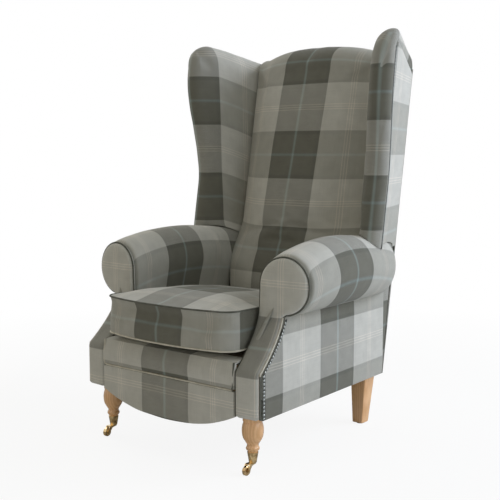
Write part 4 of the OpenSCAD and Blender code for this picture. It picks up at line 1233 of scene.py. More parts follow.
@dataclass
class ArmPad:
    """A rolled arm with its padded inner face."""

    rows: int = 60
    arc: int = 44
    inner: int = 18
    sole: int = 6
    wall: float = 0.022
    cloth_front: float = 0.322
    cloth_rear: float = 0.665
    cloth_pull: float = 0.365
    ease_in: float = 1.15
    crown_turn: float = 95
    facing_gap: float = 0.0005
    back_share: float = 0.6
    swelling: Swelling = Swelling(0.006, Hollows(0.0016, 0.07), pressure=3.0)
    left_recut: tuple[float, float] = (1.3325, 0.0415)

    def build(self, shop: Workshop) -> None:
        """Makes both arms."""
        table = [[Vector((t, 0, z)) for t, z in self._ring(i / self.rows)] for i in range(self.rows + 1)]
        lengths = [running(ring) for ring in table]
        crown = round(self.arc * (self.crown_turn + 90) / 270)

        def place(i: int, j: int) -> Vector:
            """A point of the arm, kept clear of the inside back."""
            t, z = table[i][j].x, table[i][j].z
            w = i / self.rows
            v = mix(FORM.facing_v(z) + FORM.facing_t + self.facing_gap, FORM.roll_end_v(t, z), w)
            if w > self.back_share:
                s = FORM.splay
                beside = FORM.back_half_w(z) + FORM.gap - FORM.front_half_w + v * math.sin(s)
                t = max(t, beside / math.cos(s))
            return FORM.arm(t, v, z)

        def weave(i: int, j: int) -> ClothPlace:
            """The warp runs round the arm, counted from a line just inside its crown."""
            v = mix(FORM.facing_sweep, self.cloth_rear, i / self.rows)
            around = (lengths[i][j] - lengths[i][crown]) / self.ease_in
            return (v - self.cloth_front) * FORM.warp / self.cloth_pull, around + FORM.half_weft

        bm = Former.grid(self.rows, len(table[0]) - 1, place, weave)
        pad = shop.piece("arm_cover_right", bm, WOOL, 60)
        self.swelling.fill(pad, self._give)
        shop.soften(pad)
        shop.pair(pad, Slot.WOOL, "arm_pad", 0.8, self.left_recut)

    def _ring(self, w: float) -> list[tuple[float, float]]:
        """The section of an arm at a share of its length: outward distance and height."""
        f = FORM
        high, wide = f.roll_high(w), f.roll_wide(w)
        mid_z = f.roll_z + high
        points = []
        for k in range(self.arc + 1):
            a = math.radians(-90 + 270 * k / self.arc)
            radius = wide if a < math.pi / 2 else high
            points.append((radius * math.cos(a), mid_z + high * math.sin(a)))
        foot = f.deck_z + f.gap
        for k in range(1, self.inner + 1):
            z = mix(mid_z, foot, k / self.inner)
            pinch = ease((mid_z - z) / (mid_z - f.roll_z))
            points.append((-mix(high, f.arm_w, pinch), z))
        wall = -f.arm_w + self.wall
        points += [(-f.arm_w + self.wall / 2, foot), (wall, foot)]
        points += [(wall, mix(foot, f.roll_z, k / self.sole)) for k in range(1, self.sole + 1)]
        points += [(mix(wall, 0, k / (self.sole - 1)), f.roll_z) for k in range(1, self.sole)]
        return points

    @staticmethod
    def _give(co: Vector) -> float:
        """Only the roll puffs, away from its two ends."""
        y = FORM.depth(co)
        ends = ease((y - 0.13) / 0.06) * ease((0.62 - y) / 0.08)
        return ends * ease((co.z - 0.45) / 0.06)


@dataclass
class WingPad:
    """A wing's padding: inner face, rolled front edge and cap."""

    board: float = 0.0256
    pad_s0: float = 0.10472
    board_s: float = 0.0376
    rear_ring_y: float = 0.7849
    overhang: float = 0.005
    bulge: float = 0.0063
    levels: int = 40
    cap_steps: int = 14
    sole: int = 5
    sides: int = 18
    turns: int = 12
    nose_r: float = 0.02975
    nose_stripe: float = 0.088
    cloth_z: float = 0.990
    stripe_y: float = 0.533
    cap_ease: float = 0.8
    cloth_pull: float = 0.9715
    rear_climb: float = 0.33
    pleat_h: float = 0.0016
    pleat_reach: float = 0.05
    pleats: int = 11
    pleat_s: float = 0.306
    pleat_z: float = 1.118
    swelling: Swelling = Swelling(0.006, Hollows(0.0016, 0.06), pressure=3.0)

    def build(self, shop: Workshop) -> None:
        """Makes both wings."""
        rings = [self._rear(FORM.rear_end_y, 0.3), self._rear(self.rear_ring_y, 0.9)]
        rings += [self._side(k / self.sides) for k in range(self.sides + 1)]
        rings += [self._nose(90 * k / self.turns) for k in range(1, self.turns + 1)]
        count = len(rings[0][0])

        def place(i: int, j: int) -> Vector:
            """A point of a loop."""
            return rings[i][0][j % count]

        def weave(i: int, j: int) -> ClothPlace:
            """Its cloth place."""
            return rings[i][1][j % count]

        bm = Former.grid(len(rings) - 1, count, place, weave)
        pad = shop.piece("wing_cover_right", bm, WOOL, 75)
        self.swelling.fill(pad, self._give)
        self._gather(pad)
        shop.soften(pad)
        shop.pair(pad, Slot.WOOL, "wing_pad", 0.7)

    def _ring(
        self,
        low: float,
        top: float,
        in_at: Callable[[float], Vector],
        out_at: Callable[[float], Vector],
        cap_in: Callable[[float], Vector],
        cap_out: Callable[[float], Vector],
        inner_u: Callable[[Vector], float],
        outer_u: Callable[[Vector], float],
    ) -> Loop:
        """One upright loop of a wing, with its cloth places.

        Args:
            low: height of the foot of the cap.
            top: height of the cap.
            in_at: inner face at a height.
            out_at: outer face at a height.
            cap_in: inner foot of the cap.
            cap_out: outer foot of the cap.
            inner_u: cloth place along the wing on the inner face.
            outer_u: cloth place along the wing on the outer face.

        Returns:
            The points of the loop and their cloth places.
        """
        probe = FORM.above_roll
        z_in, z_out = FORM.over_roll(in_at(probe)), FORM.over_roll(out_at(probe))
        points, cloth = [], []
        for k in range(self.levels):
            p = in_at(mix(z_in, low, k / self.levels))
            points.append(p)
            cloth.append((inner_u(p), self._rise(p)))
        start, end = cap_in(low), cap_out(low)
        arc = 0.0
        before = start
        for k in range(self.cap_steps + 1):
            a = math.pi * k / self.cap_steps
            z = low + (top - low) * math.sin(a)
            p = cap_in(z).lerp(cap_out(z), 1 - ((1 + math.cos(a)) / 2) ** 1.8)
            p += FORM.outward * self.overhang * math.sin(a) * (k / self.cap_steps) ** 2
            arc += (p - before).length
            before = p
            points.append(p)
            share = k / self.cap_steps
            u = mix(inner_u(start), outer_u(end), share)
            cloth.append((u, self._rise(start) + arc * self.cap_ease))
        for k in range(1, self.levels + 1):
            p = out_at(mix(low, z_out, k / self.levels))
            points.append(p)
            cloth.append((outer_u(p), self._rise(p)))
        for k in range(1, self.sole + 1):
            p = out_at(probe).lerp(in_at(probe), k / (self.sole + 1))
            z = FORM.over_roll(p)
            p = out_at(z).lerp(in_at(z), k / (self.sole + 1))
            points.append(p)
            cloth.append((inner_u(p), self._rise(p)))
        return points, cloth

    def _ahead(self, p: Vector) -> float:
        """Distance of a point ahead of the edge between the wing's dark and light stripes."""
        edge_y = self.stripe_y + (p.z - 0.6) * 0.02
        return (edge_y - FORM.depth(p)) / math.cos(FORM.flare)

    def _along(self, p: Vector, further: float = 0.0) -> float:
        """Cloth place along the wing, scaled so that the dark stripe's middle runs down the nose.

        Args:
            p: a point of the wing, no further forwards than its trim line.
            further: length of cloth from there on round the nose.

        Returns:
            The cloth place, 0 at the nose.
        """
        ahead = self._ahead(p) + further
        whole = self._ahead(self._trim(p.z)) + self.nose_r * math.pi / 2
        return -self.nose_stripe + ahead * (self.nose_stripe / whole if ahead > 0 else 1.0)

    def _rise(self, p: Vector) -> float:
        """Cloth place up the wing."""
        return (p.z - self.cloth_z) * self.cloth_pull + self.rear_climb * max(0.0, -self._ahead(p))

    @staticmethod
    def _trim(z: float) -> Vector:
        """The front of the inner face at a height, where the nose begins."""
        return FORM.wing(FORM.wing_reach(z), FORM.wing_t, z)

    def _rear(self, y: float, high_share: float) -> Loop:
        """A loop behind the seam, whose cap runs on over the post.

        Args:
            y: the depth of its outer half.
            high_share: how much of the cap's height it has.

        Returns:
            The loop.
        """
        f = FORM
        s = (f.rear_end_y - y) / math.cos(f.flare)
        low = max(f.cap_z, f.wing_top(s) - f.cap_h)

        def side(z: float, depth: float) -> Vector:
            """Beside the inside back."""
            return f.set(f.back_half_w(z) + f.gap, depth, z)

        def out(z: float) -> Vector:
            """Outer foot of the cap, over the post."""
            return f.set(f.rear_half_w + (f.rear_y(z) - y) * math.tan(f.flare), y, z)

        def board(z: float) -> Vector:
            """The rear of the padding on the board."""
            return f.wing(self.board_s, self.board, z)

        def inner(z: float) -> Vector:
            """The rear of the padding beside the back."""
            return side(z, f.pad_rear_y(z) - s * 0.1)

        def cap_in(z: float) -> Vector:
            """Inner foot of the cap."""
            return side(z, y)

        top = low + f.cap_h * high_share
        return self._ring(low, top, inner, board, cap_in, out, self._along, self._along)

    def _side(self, share: float) -> Loop:
        """A loop along the side of a wing."""
        f = FORM
        top = f.wing_top(mix(self.pad_s0, f.wing_high_reach, share))
        low = max(f.cap_z, top - f.cap_h)

        def inner(z: float) -> Vector:
            """The inner face, from the seam beside the back to the rolled edge."""
            seam = f.set(f.back_half_w(z) + f.gap, f.back_edge_y(z) - f.cover_t, z)
            out = f.outward
            swell = self.bulge * math.sin(math.pi * share)
            return seam.lerp(self._trim(z), share) - swell * Vector((out.x, out.y, 0))

        def outer(z: float) -> Vector:
            """The outer face."""
            return f.wing(mix(self.pad_s0, f.wing_reach(z), share), 0.0, z)

        def board(z: float) -> Vector:
            """The padding's back on the board, which thins out to the front."""
            thin = 1 - ease((share - 0.8) * 5)
            return f.wing(mix(self.pad_s0, f.wing_reach(z), share), self.board * thin, z)

        return self._ring(low, top, inner, board, inner, outer, self._along, self._along)

    def _nose(self, degrees: float) -> Loop:
        """A loop round the rolled front edge, closed to a line at a quarter turn."""
        f = FORM
        turn = math.radians(degrees)
        near = f.wing_t / 2 * (1 - math.cos(turn))
        reach = f.wing_nose * math.sin(turn) + f.gap
        top = f.wing_top(f.wing_high_reach + reach)

        def inner(z: float) -> Vector:
            """The inner quarter of the nose."""
            return f.wing(f.wing_reach(z) + reach, f.wing_t - near, z)

        def outer(z: float) -> Vector:
            """The outer quarter of the nose."""
            return f.wing(f.wing_reach(z) + reach, near, z)

        def inner_u(p: Vector) -> float:
            """Cloth place on the inner quarter."""
            return self._along(self._trim(p.z), self.nose_r * turn)

        def outer_u(p: Vector) -> float:
            """Cloth place on the outer quarter."""
            return self._along(self._trim(p.z), self.nose_r * (math.pi - turn))

        return self._ring(top - f.cap_h, top, inner, outer, inner, outer, inner_u, outer_u)

    @staticmethod
    def _give(co: Vector) -> float:
        """The seams by the back, the roll and the board hold."""
        f = FORM
        seam = ease((f.back_edge_y(co.z) - 0.01 - f.depth(co)) / 0.05) if co.z < f.cap_z else 1.0
        foot = ease((co.z - 0.60) / 0.05)
        depth = (f.set(f.rear_half_w, f.rear_y(co.z), co.z) - co).dot(f.outward)
        return seam * foot * ease((depth - 0.004) / 0.02)

    def _gather(self, obj: bpy.types.Object) -> None:
        """Presses small pleats into the outer front corner of the cap."""
        f = FORM
        hub = f.wing(self.pleat_s, 0.0, self.pleat_z)
        mesh = obj.data
        for v in mesh.vertices:
            away = v.co - hub
            if away.length < self.pleat_reach and away.dot(f.outward) < 0.03:
                angle = math.atan2(away.z, away.dot(f.ahead))
                share = ease(1 - away.length / self.pleat_reach)
                v.co += v.normal * self.pleat_h * share * math.sin(angle * self.pleats)
        mesh.update()


@dataclass
class OutsidePanels:
    """The outside covers of the arms, the wings and the back."""

    bulge: float = 0.0025
    fold_t: float = 0.0056
    arm_rear_v: float = 0.6600
    strip_v: float = 0.6606
    strip_in: float = 0.0006
    strip_top_z: float = 0.540
    board_reach: float = 0.0528
    wing_rear_s: float = 0.0057
    back_top_z: float = 1.0775
    arm_cloth_v: float = 0.382
    arm_cloth_z: float = 0.2825
    arm_pull: float = 0.372
    wing_dark_s: float = 0.2
    wing_rear_pull: float = 0.42
    wing_cloth_z: float = 0.891
    facing_gap: float = 0.0004
    cap_overlap: float = 0.04

    def build(self, shop: Workshop) -> None:
        """Makes each outside cover."""
        made = []
        for name, cuts, place, weave in (
            ("outside_arm_cover_right", (40, 30, 1), self._arm, self._arm_weave),
            # Painted shade: the side strip's dark cloth also stands in for the shade on the side of the
            # outside back.
            ("arm_side_strip_right", (6, 40, 1), self._strip, self._strip_weave_painted_shade),
            ("outside_wing_cover_right", (30, 50, 1), self._wing, self._wing_weave),
            ("outside_back_cover", (50, 1, 80), self._back, self._back_weave),
        ):
            made.append(shop.piece(name, Former.box(cuts, place, weave), WOOL, 40))
        arm, strip, wing, back = made
        for obj, node in ((arm, "outside_arm"), (strip, "outside_arm"), (wing, "outside_wing")):
            shop.pair(obj, Slot.WOOL, node, 0.9)
        shop.fit(back, Body.FRAME, Slot.WOOL, ["outside_back"], 0.9)

    def _puff(self, a: float, b: float) -> float:
        """Swell of a stretched panel, nothing at its edges."""
        return self.bulge * (1 - abs(a) ** 6) * (1 - abs(b) ** 6)

    def _rear_v(self, z: float, inside: float) -> float:
        """Place along the arm of a line this far inside the raked rear edge."""
        f = FORM
        return (f.rear_y(z) - inside / math.cos(f.rake)) / math.cos(f.splay)

    def _arm(self, a: float, b: float, c: float) -> Vector:
        """Outside arm: a back along it, b up and c outwards."""
        f = FORM
        z = mix(f.leg_h, f.roll_z - f.gap, (b + 1) / 2)
        front = f.facing_v(z) + f.facing_t + self.facing_gap
        rear = min(self.arm_rear_v, self._rear_v(z, self.fold_t))
        t = self._puff(a, b) if c > 0 else -f.cover_t
        return f.arm(t, mix(front, rear, (a + 1) / 2), z)

    def _arm_weave(self, _share: Vector, p: Vector) -> ClothPlace:
        """Stripes upright, as cut from one width."""
        s = FORM.splay
        v = (FORM.front_half_w - p.x) * math.sin(s) + FORM.depth(p) * math.cos(s)
        along = (v - self.arm_cloth_v) * FORM.warp / self.arm_pull
        return along, p.z - self.arm_cloth_z + FORM.half_weft

    def _strip(self, a: float, b: float, c: float) -> Vector:
        """The wedge between the outside arm and the raked rear edge, in dark cloth that partly paints the
        shade on the side of the outside back.
        """
        f = FORM
        z = mix(f.leg_h + 0.004, self.strip_top_z, (b + 1) / 2)
        rear = self._rear_v(z, self.fold_t)
        start = self._rear_v(z, f.pad_rear + f.cover_t - self.strip_in)
        if z < f.roll_z:
            start = max(self.strip_v, start)
        swell = -self.strip_in + 0.0008 * (1 - abs(a) ** 4)
        return f.arm(swell if c > 0 else -f.cover_t, mix(min(start, rear - 0.0008), rear, (a + 1) / 2), z)

    @staticmethod
    def _strip_weave_painted_shade(_share: Vector, p: Vector) -> ClothPlace:
        """Dark warp of the check, wrapped round from the outside back; its dark tone also paints the
        shade on that side.
        """
        # Painted shade: u sits in the middle of the dark warp stripe, so the strip reads as shaded.
        return 0.02 + (FORM.depth(p) - FORM.body_d) * 0.5, p.z

    def _wing(self, a: float, b: float, c: float) -> Vector:
        """Outside wing: a ahead along it, b up and c outwards."""
        f = FORM
        z = mix(0.56, 1.12, (b + 1) / 2)
        s = 0.0
        for _ in range(4):
            s = mix(self.wing_rear_s, f.wing_reach(z) + f.clear, (a + 1) / 2)
            foot = f.wing_foot_z
            if s > self.board_reach:
                for d in (0, f.cover_t):
                    foot = max(foot, f.over_roll(f.wing(s, d, f.above_roll)))
            z = mix(foot, f.wing_top(s) - self.cap_overlap, (b + 1) / 2)
        return f.wing(s, -self._puff(a, b) if c > 0 else f.cover_t, z)

    def _wing_weave(self, _share: Vector, p: Vector) -> ClothPlace:
        """A light stripe nearly fills the panel, with a dark edge by the studs."""
        f = FORM
        u = (p - f.set(f.rear_half_w, f.rear_y(p.z), p.z)).dot(f.ahead) - self.wing_dark_s
        return (u if u > 0 else u * self.wing_rear_pull) + f.warp / 2, p.z - self.wing_cloth_z

    def _back(self, a: float, c: float, b: float) -> Vector:
        """Outside back: a across, c rearwards and b up."""
        f = FORM
        z = mix(f.leg_h, self.back_top_z, (b + 1) / 2)
        push = self._puff(a, b) * 1.2 if c > 0 else -f.cover_t / math.cos(f.rake)
        return f.set(a * f.rear_half_w, f.rear_y(z) + push, z)

    @staticmethod
    def _back_weave(_share: Vector, p: Vector) -> ClothPlace:
        """The check carries on down the outside back."""
        return p.x, (p.z - FORM.cloth_z) / math.cos(FORM.rake)


@dataclass
class ArmFacing:
    """The scroll-headed facing of an arm, with its piping, and the braids under the studs."""

    inset: float = 0.0052
    cord_inset: float = 0.003
    cords: float = 0.0024
    bulge: float = 0.0045
    rim: float = 0.004
    around: int = 110
    foot_steps: int = 8
    rings: int = 14
    scroll_start: float = math.radians(-84)
    scroll_steps: int = 48
    neck_steps: int = 8
    cloth_z: float = 0.489
    cloth_steps: int = 24
    braid_t: float = 0.0013
    braid_w: float = 0.0096
    braid_steps: int = 60

    def _edge(self, inset: float, count: int) -> list[tuple[float, float]]:
        """The facing's outline as distances outside the panel and heights.

        Args:
            inset: how far the line lies inside the arm's section.
            count: how many equal steps it is cut into.

        Returns:
            Points from the outer foot over the scroll to the inner foot.
        """
        f = FORM
        mid_z = f.roll_z + f.roll_r
        radius = f.roll_r - inset
        points = [Vector((-inset, 0, z)) for z in (f.leg_h + inset, f.bend_z, f.roll_z - inset * 0.5)]
        for k in range(self.scroll_steps + 1):
            a = mix(self.scroll_start, math.pi, k / self.scroll_steps)
            points.append(Vector((radius * math.cos(a), 0, mid_z + radius * math.sin(a))))
        for k in range(1, self.neck_steps + 1):
            share = k / self.neck_steps
            inward = mix(radius, f.arm_w - inset, ease(share))
            points.append(Vector((-inward, 0, mix(mid_z, f.roll_z, share))))
        points += [Vector((-f.arm_w + inset, 0, z)) for z in (f.bend_z, f.leg_h + inset)]
        return [(p.x, p.z) for p in even_steps(points, count)]

    @staticmethod
    def _spine(base: Sequence[tuple[float, float]], k: int) -> tuple[float, float]:
        """A place on the facing's middle line, the same one seen from both edges.

        Args:
            base: the outline from the outer foot to the inner foot.
            k: which of its points.

        Returns:
            The distance outside the panel and the height.
        """
        f = FORM
        (t0, z0), (t1, z1) = base[k], base[len(base) - 1 - k]
        if (z0 + z1) / 2 >= f.roll_z + f.roll_r:
            return 0.0, f.roll_z + f.roll_r
        return (t0 + t1) / 2, max(f.leg_h + 0.03, (z0 + z1) / 2)

    def build(self, shop: Workshop) -> None:
        """Makes both facings with their trims."""
        f = FORM
        face = shop.piece("arm_facing_cover_right", self._face(), WOOL, 70)
        outline = self._edge(self.cord_inset, 200)
        path = [f.arm(t, f.facing_v(z) + f.facing_t / 2, z) for t, z in outline]
        slope = next(k for k, (t, z) in enumerate(outline) if z > f.bend_z)
        scroll = next(k for k, (t, z) in enumerate(outline) if z > f.roll_z - 0.004)
        cords = []
        for name, run, finish in (
            ("facing_cord_right", path[scroll:], DARK_CORD),
            ("facing_slope_cord_right", path[slope - 1:scroll + 1], PALE_CORD),
            ("facing_foot_cord_right", path[:slope], DARK_CORD),
        ):
            cords.append(shop.piece(name, Former.tube(run, self.cords), finish))
        arm_braid = shop.piece("arm_gimp_right", self._arm_braid(), GIMP, 40)
        wing_braid = shop.piece("wing_gimp_right", self._wing_braid(), GIMP, 40)
        shop.pair(face, Slot.WOOL, "arm_facing", 0.85)
        for cord, slot in zip(cords, (Slot.DARK_PIPING, Slot.PALE_PIPING, Slot.DARK_PIPING)):
            shop.pair(cord, slot, "facing_piping")
        for braid in (arm_braid, wing_braid):
            shop.pair(braid, Slot.DARK_PIPING, "")

    def _face(self) -> bmesh.types.BMesh:
        """The facing's cover, in loops from its rear edge to its middle line."""
        f = FORM
        base = self._edge(self.inset, self.around)
        foot_z = f.leg_h + self.inset * 0.2
        shares = [k / self.foot_steps for k in range(1, self.foot_steps)]
        loop = base + [(mix(base[-1][0], base[0][0], share), foot_z) for share in shares]
        n = len(loop)

        def spot(i: int, j: int) -> Triple:
            """Distance outside the panel, height and share of the way to the middle line."""
            t, z = loop[j % n]
            mid_t, mid_z = self._spine(base, j % n if j % n < len(base) else 0)
            share = max(0.0, (i - 2) / (self.rings + 2))
            return mix(t, mid_t, share), mix(z, mid_z, share), share

        def place(i: int, j: int) -> Vector:
            """A point of the cover: up the rim first, then over the padding."""
            t, z, share = spot(i, j)
            depth = mix(f.facing_t, self.rim, i / 2)
            if i > 2:
                slope = clamp01(share / 0.5)
                depth = self.rim - (self.bulge + self.rim) * math.sqrt(1 - (1 - slope) ** 2)
            return f.arm(t, f.facing_v(z) + depth, z)

        def weave(i: int, j: int) -> ClothPlace:
            """The check runs up the facing's curve."""
            t, z, _ = spot(i, j)
            return self._arc(z) + f.warp / 2, t + 0.005 + f.half_weft

        return Former.grid(self.rings + 4, n, place, weave)

    def _arc(self, z: float) -> float:
        """Length up the facing's curve, counted from the middle of the scroll."""
        total = 0.0
        for k in range(self.cloth_steps):
            z0 = mix(self.cloth_z, z, k / self.cloth_steps)
            z1 = mix(self.cloth_z, z, (k + 1) / self.cloth_steps)
            total += math.copysign(math.hypot(z1 - z0, FORM.facing_v(z1) - FORM.facing_v(z0)), z1 - z0)
        return total

    def _braid(self, low: float, high: float, at: BoxPlace) -> bmesh.types.BMesh:
        """The braid under a row of studs.

        Args:
            low: height of its foot.
            high: height of its top.
            at: the point for a distance across it, a rise off the cloth and a height.

        Returns:
            Its mesh.
        """
        section = ((0.0, 0.0), (0.0, self.braid_t), (self.braid_w, self.braid_t), (self.braid_w, 0.0))

        def place(i: int, j: int) -> Vector:
            """A corner of the braid's section."""
            across, rise = section[j % 4]
            return at(across, rise, mix(low, high, i / self.braid_steps))

        return Former.grid(self.braid_steps, 4, place, lambda i, j: (i * 0.004, j * 0.003))

    def _arm_braid(self) -> bmesh.types.BMesh:
        """The braid under the arm's studs."""
        f = FORM

        def at(across: float, rise: float, z: float) -> Vector:
            """A point behind the facing, outside the arm's cover."""
            return f.arm(rise, f.facing_v(z) + f.facing_t + 0.0006 + across, z)

        return self._braid(f.leg_h + 0.001, f.roll_z - 0.008, at)

    def _wing_braid(self) -> bmesh.types.BMesh:
        """The braid under the wing's studs."""
        f = FORM
        foot = f.over_roll(f.wing(f.wing_reach(f.wing_foot_z), 0, f.above_roll)) + 0.001

        def at(across: float, rise: float, z: float) -> Vector:
            """A point behind the wing's trim line, outside its cover."""
            return f.wing(f.wing_reach(z) - 0.0004 - across, -rise, z)

        return self._braid(foot, f.wing_top(f.wing_high_reach) - 0.0415, at)


@dataclass
class FrontBorder:
    """The padded roll below the cushion, its piping and the scalloped apron."""

    face_y: float = -0.00815
    rear_y: float = 0.0042
    deck_edge_y: float = 0.0445
    seam_z: float = 0.222
    seam_gap: float = 0.0033
    cords: float = 0.0024
    bulge: float = 0.006
    top_round: float = 0.006
    scallop: float = 0.047
    apron_t: float = 0.012
    arm_gap: float = 0.0783
    border_cloth_z: float = 0.31
    apron_cloth_z: float = 0.184
    border_hollows: Hollows = Hollows(0.0012, 0.05)
    apron_hollows: Hollows = Hollows(0.0012, 0.06)
    border_free_x: float = 0.22
    apron_free: float = 0.21

    def half(self, y: float) -> float:
        """Half width between the arms at a depth."""
        s = FORM.splay
        return FORM.front_half_w - self.arm_gap / math.cos(s) - y * math.tan(s)

    def build(self, shop: Workshop) -> None:
        """Makes the border, its piping and the apron."""
        mesh = Former.box((48, 6, 16), self._roll, self._weave)
        border = shop.piece("front_border_cover", mesh, WOOL, 60)
        self.border_hollows.press(border, lambda co: float(abs(co.x) < self.border_free_x))
        shop.fit(border, Body.FRAME, Slot.WOOL, ["front_border"], 0.7)
        self._cords(shop)
        mesh = Former.box((60, 2, 14), self._apron, self._apron_weave)
        apron = shop.piece("front_apron_cover", mesh, WOOL, 50)
        self.apron_hollows.press(apron, lambda co: float(max(abs(co.x), co.z) < self.apron_free))
        shop.fit(apron, Body.FRAME, Slot.WOOL, ["front_apron"], 0.85)

    def _cords(self, shop: Workshop) -> None:
        """Runs pale piping down the left end and along the seam, and a dark cord down the right end as
        painted shade over the pale piping there.
        """
        x = self.half(self.rear_y) - self.cords
        y = self.face_y + 0.0012
        end = [FORM.set(x, y + 0.003, 0.2935), FORM.set(x, y, 0.262), FORM.set(x, y - 0.001, 0.232),
               FORM.set(x - 0.003, y - 0.001, 0.2245)]
        path = [Vector((-p.x, p.y, p.z)) for p in end]
        path += [FORM.set(mix(-x + 0.010, x - 0.004, k / 40), y, self.seam_z) for k in range(41)]
        cord = shop.piece("border_cord", Former.tube(path, self.cords), PALE_CORD)
        shop.fit(cord, Body.FRAME, Slot.PALE_PIPING, ["border_piping"])
        # Painted shade: the right end's piping is pale like the left one. It is made here in dark cord to
        # stand in for the shadow over it.
        shaded_end_cord = shop.piece("border_end_cord", Former.tube(end, self.cords), DARK_CORD)
        shop.fit(shaded_end_cord, Body.FRAME, Slot.DARK_PIPING, [])

    def _roll(self, a: float, c: float, b: float) -> Vector:
        """The border: a across, c rearwards and b up."""
        foot, top = self.seam_z + self.seam_gap, FORM.deck_z
        w = (b + 1) / 2
        z = mix(foot, top, w)
        swell = self.bulge * (1 - 0.5 * abs(a) ** 2.6)
        front = self.face_y - swell * math.sin(math.pi * min(1.0, w * 1.05)) + (top - foot) * 0.12 * w * w
        rear = self.rear_y if b < 0.85 else self.deck_edge_y
        y = mix(front, rear, (c + 1) / 2)
        if b > 0.99:
            z -= self.top_round * (1 - c) ** 2 / 4
        return FORM.set(a * self.half(y), y, z)

    def _weave(self, _share: Vector, p: Vector) -> ClothPlace:
        """Stripes line up with the cushion and the apron."""
        return p.x, p.z - self.border_cloth_z + FORM.half_weft

    def _apron(self, a: float, c: float, b: float) -> Vector:
        """The apron: a across, c rearwards and b up."""
        low = FORM.leg_h - self.scallop * (1 - abs(a) ** 2.5)
        z = mix(low, self.seam_z - self.seam_gap, (b + 1) / 2)
        swell = 0.0022 * (1 - abs(a) ** 6) * (1 - abs(b) ** 4)
        y = self.face_y - swell if c < 0 else self.face_y + self.apron_t
        if abs(c) < 0.9:
            y = self.face_y + self.apron_t / 2 * (1 + c)
        return FORM.set(a * self.half(self.rear_y), y, z)

    def _apron_weave(self, _share: Vector, p: Vector) -> ClothPlace:
        """A cream line runs across the middle of the apron."""
        return p.x, p.z - self.apron_cloth_z + FORM.half_weft


@dataclass(frozen=True)
class LegEnd:
    """One end of a tapered leg: its middle, its half width and its height."""

    x: float
    y: float
    half: float
    z: float


@dataclass
class Legs:
    """Turned front legs and tapered rear legs."""

    front_x: float = 0.26574
    front_y: float = 0.04401
    foot_z: float = 0.0317
    top_z: float = 0.1577
    radius: float = 0.0285
    lathe_steps: int = 64
    rear_top: LegEnd = LegEnd(0.22511, 0.61660, 0.027, 0.1577)
    rear_foot: LegEnd = LegEnd(0.22194, 0.61027, 0.0175, 0.00265)
    corner: float = 0.003

    def build(self, shop: Workshop) -> None:
        """Makes the four legs."""
        front = shop.piece("turned_leg_right", self._turned(), BEECH, 70)
        rear = shop.piece("tapered_leg_right", self._tapered(), BEECH, 25)
        shop.pair(front, Slot.BEECH, "front_leg")
        shop.pair(rear, Slot.BEECH, "rear_leg")

    def _profile(self) -> list[tuple[float, float]]:
        """The turning's radius and height, from the foot up."""
        stops = [
            (0.0, 0.31), (0.05, 0.345), (0.12, 0.40), (0.2, 0.45), (0.225, 0.5), (0.235, 0.555),
            (0.252, 0.605), (0.275, 0.635), (0.298, 0.605), (0.315, 0.555), (0.335, 0.52), (0.352, 0.53),
            (0.37, 0.56), (0.42, 0.7), (0.46, 0.81), (0.5, 0.9), (0.55, 0.96), (0.6, 0.99),
            (0.64, 1.0), (0.68, 1.0), (0.72, 0.98), (0.76, 0.95), (0.8, 0.895), (0.825, 0.855),
            (0.84, 0.84), (0.843, 0.9), (0.85, 0.92), (0.99, 0.92),
        ]
        length = self.top_z - self.foot_z
        return [(r * self.radius, self.foot_z + share * length) for share, r in stops]

    def _turned(self) -> bmesh.types.BMesh:
        """Spins the turning's profile."""
        bm = bmesh.new()
        bm.loops.layers.uv.new(UV_NAME)
        centre = FORM.set(self.front_x, self.front_y, 0)
        profile = [(0.0, self.foot_z), *self._profile(), (0.0, self.top_z)]
        verts = [bm.verts.new(centre + Vector((r, 0, z))) for r, z in profile]
        edges = [bm.edges.new(pair) for pair in zip(verts, verts[1:])]
        bmesh.ops.spin(bm, geom=verts + edges, cent=centre, axis=(0, 0, 1), angle=2 * math.pi,
                       steps=self.lathe_steps, use_merge=True)
        bmesh.ops.remove_doubles(bm, verts=bm.verts[:], dist=1e-5)
        bmesh.ops.recalc_face_normals(bm, faces=bm.faces[:])
        return bm

    def _tapered(self) -> bmesh.types.BMesh:
        """Tapers and bevels a rear leg."""
        top, foot = self.rear_top, self.rear_foot

        def place(a: float, b: float, c: float) -> Vector:
            """A point of the leg: a across, b rearwards and c up."""
            share = (c + 1) / 2
            half = mix(foot.half, top.half, share)
            x, y = mix(foot.x, top.x, share), mix(foot.y, top.y, share)
            return FORM.set(x + a * half, y + b * half, mix(foot.z, top.z, share))

        bm = Former.box((0, 0, 6), place, lambda share, p: (p.x, p.z))
        edges = [e for e in bm.edges if len(e.link_faces) == 2 and e.calc_face_angle(0.0) > 0.8]
        bmesh.ops.bevel(bm, geom=edges, offset=self.corner, segments=4, profile=0.5, affect="EDGES",
                        material=-1)
        return bm


class CarriedNodes:
    """CAD nodes whose shape is right, each given its finish."""

    STARTS: tuple[tuple[Finish, tuple[str, ...]], ...] = (
        (TIMBER, ("front_rail", "rear_rail", "side_rail", "corner_blocks", "arm_post", "arm_rail",
                  "back_post", "crest_rail", "back_rails", "wing_frame")),
        (STEEL, ("seat_springs", "spring_clips", "leg_bolts")),
        (JUTE, ("back_webbing",)),
        (FELT, ("seat_deck",)),
        (LINING, ("dust_cover",)),
        (ZIP, ("cushion_zip",)),
        (PEWTER, ("arm_studs", "wing_studs")),
        (GLIDE, ("foot_glides",)),
        (BRASS, ("castor",)),
    )

    def build(self, nodes: dict[str, bpy.types.Object]) -> None:
        """Dresses each carried-over node, and each covered one in wool.

        Args:
            nodes: the CAD nodes by name.
        """
        for name, obj in nodes.items():
            finish = next((finish for finish, starts in self.STARTS if name.startswith(starts)), WOOL)
            obj.data.materials.clear()
            obj.data.materials.append(finish.material())
            for face in obj.data.polygons:
                face.material_index = 0


@dataclass(frozen=True)
class Lamp:
    """A soft square lamp, aimed at a height over the middle of the floor."""

    name: str
    at: Triple
    aim_h: float
    size: float
    power: float
    colour: Triple


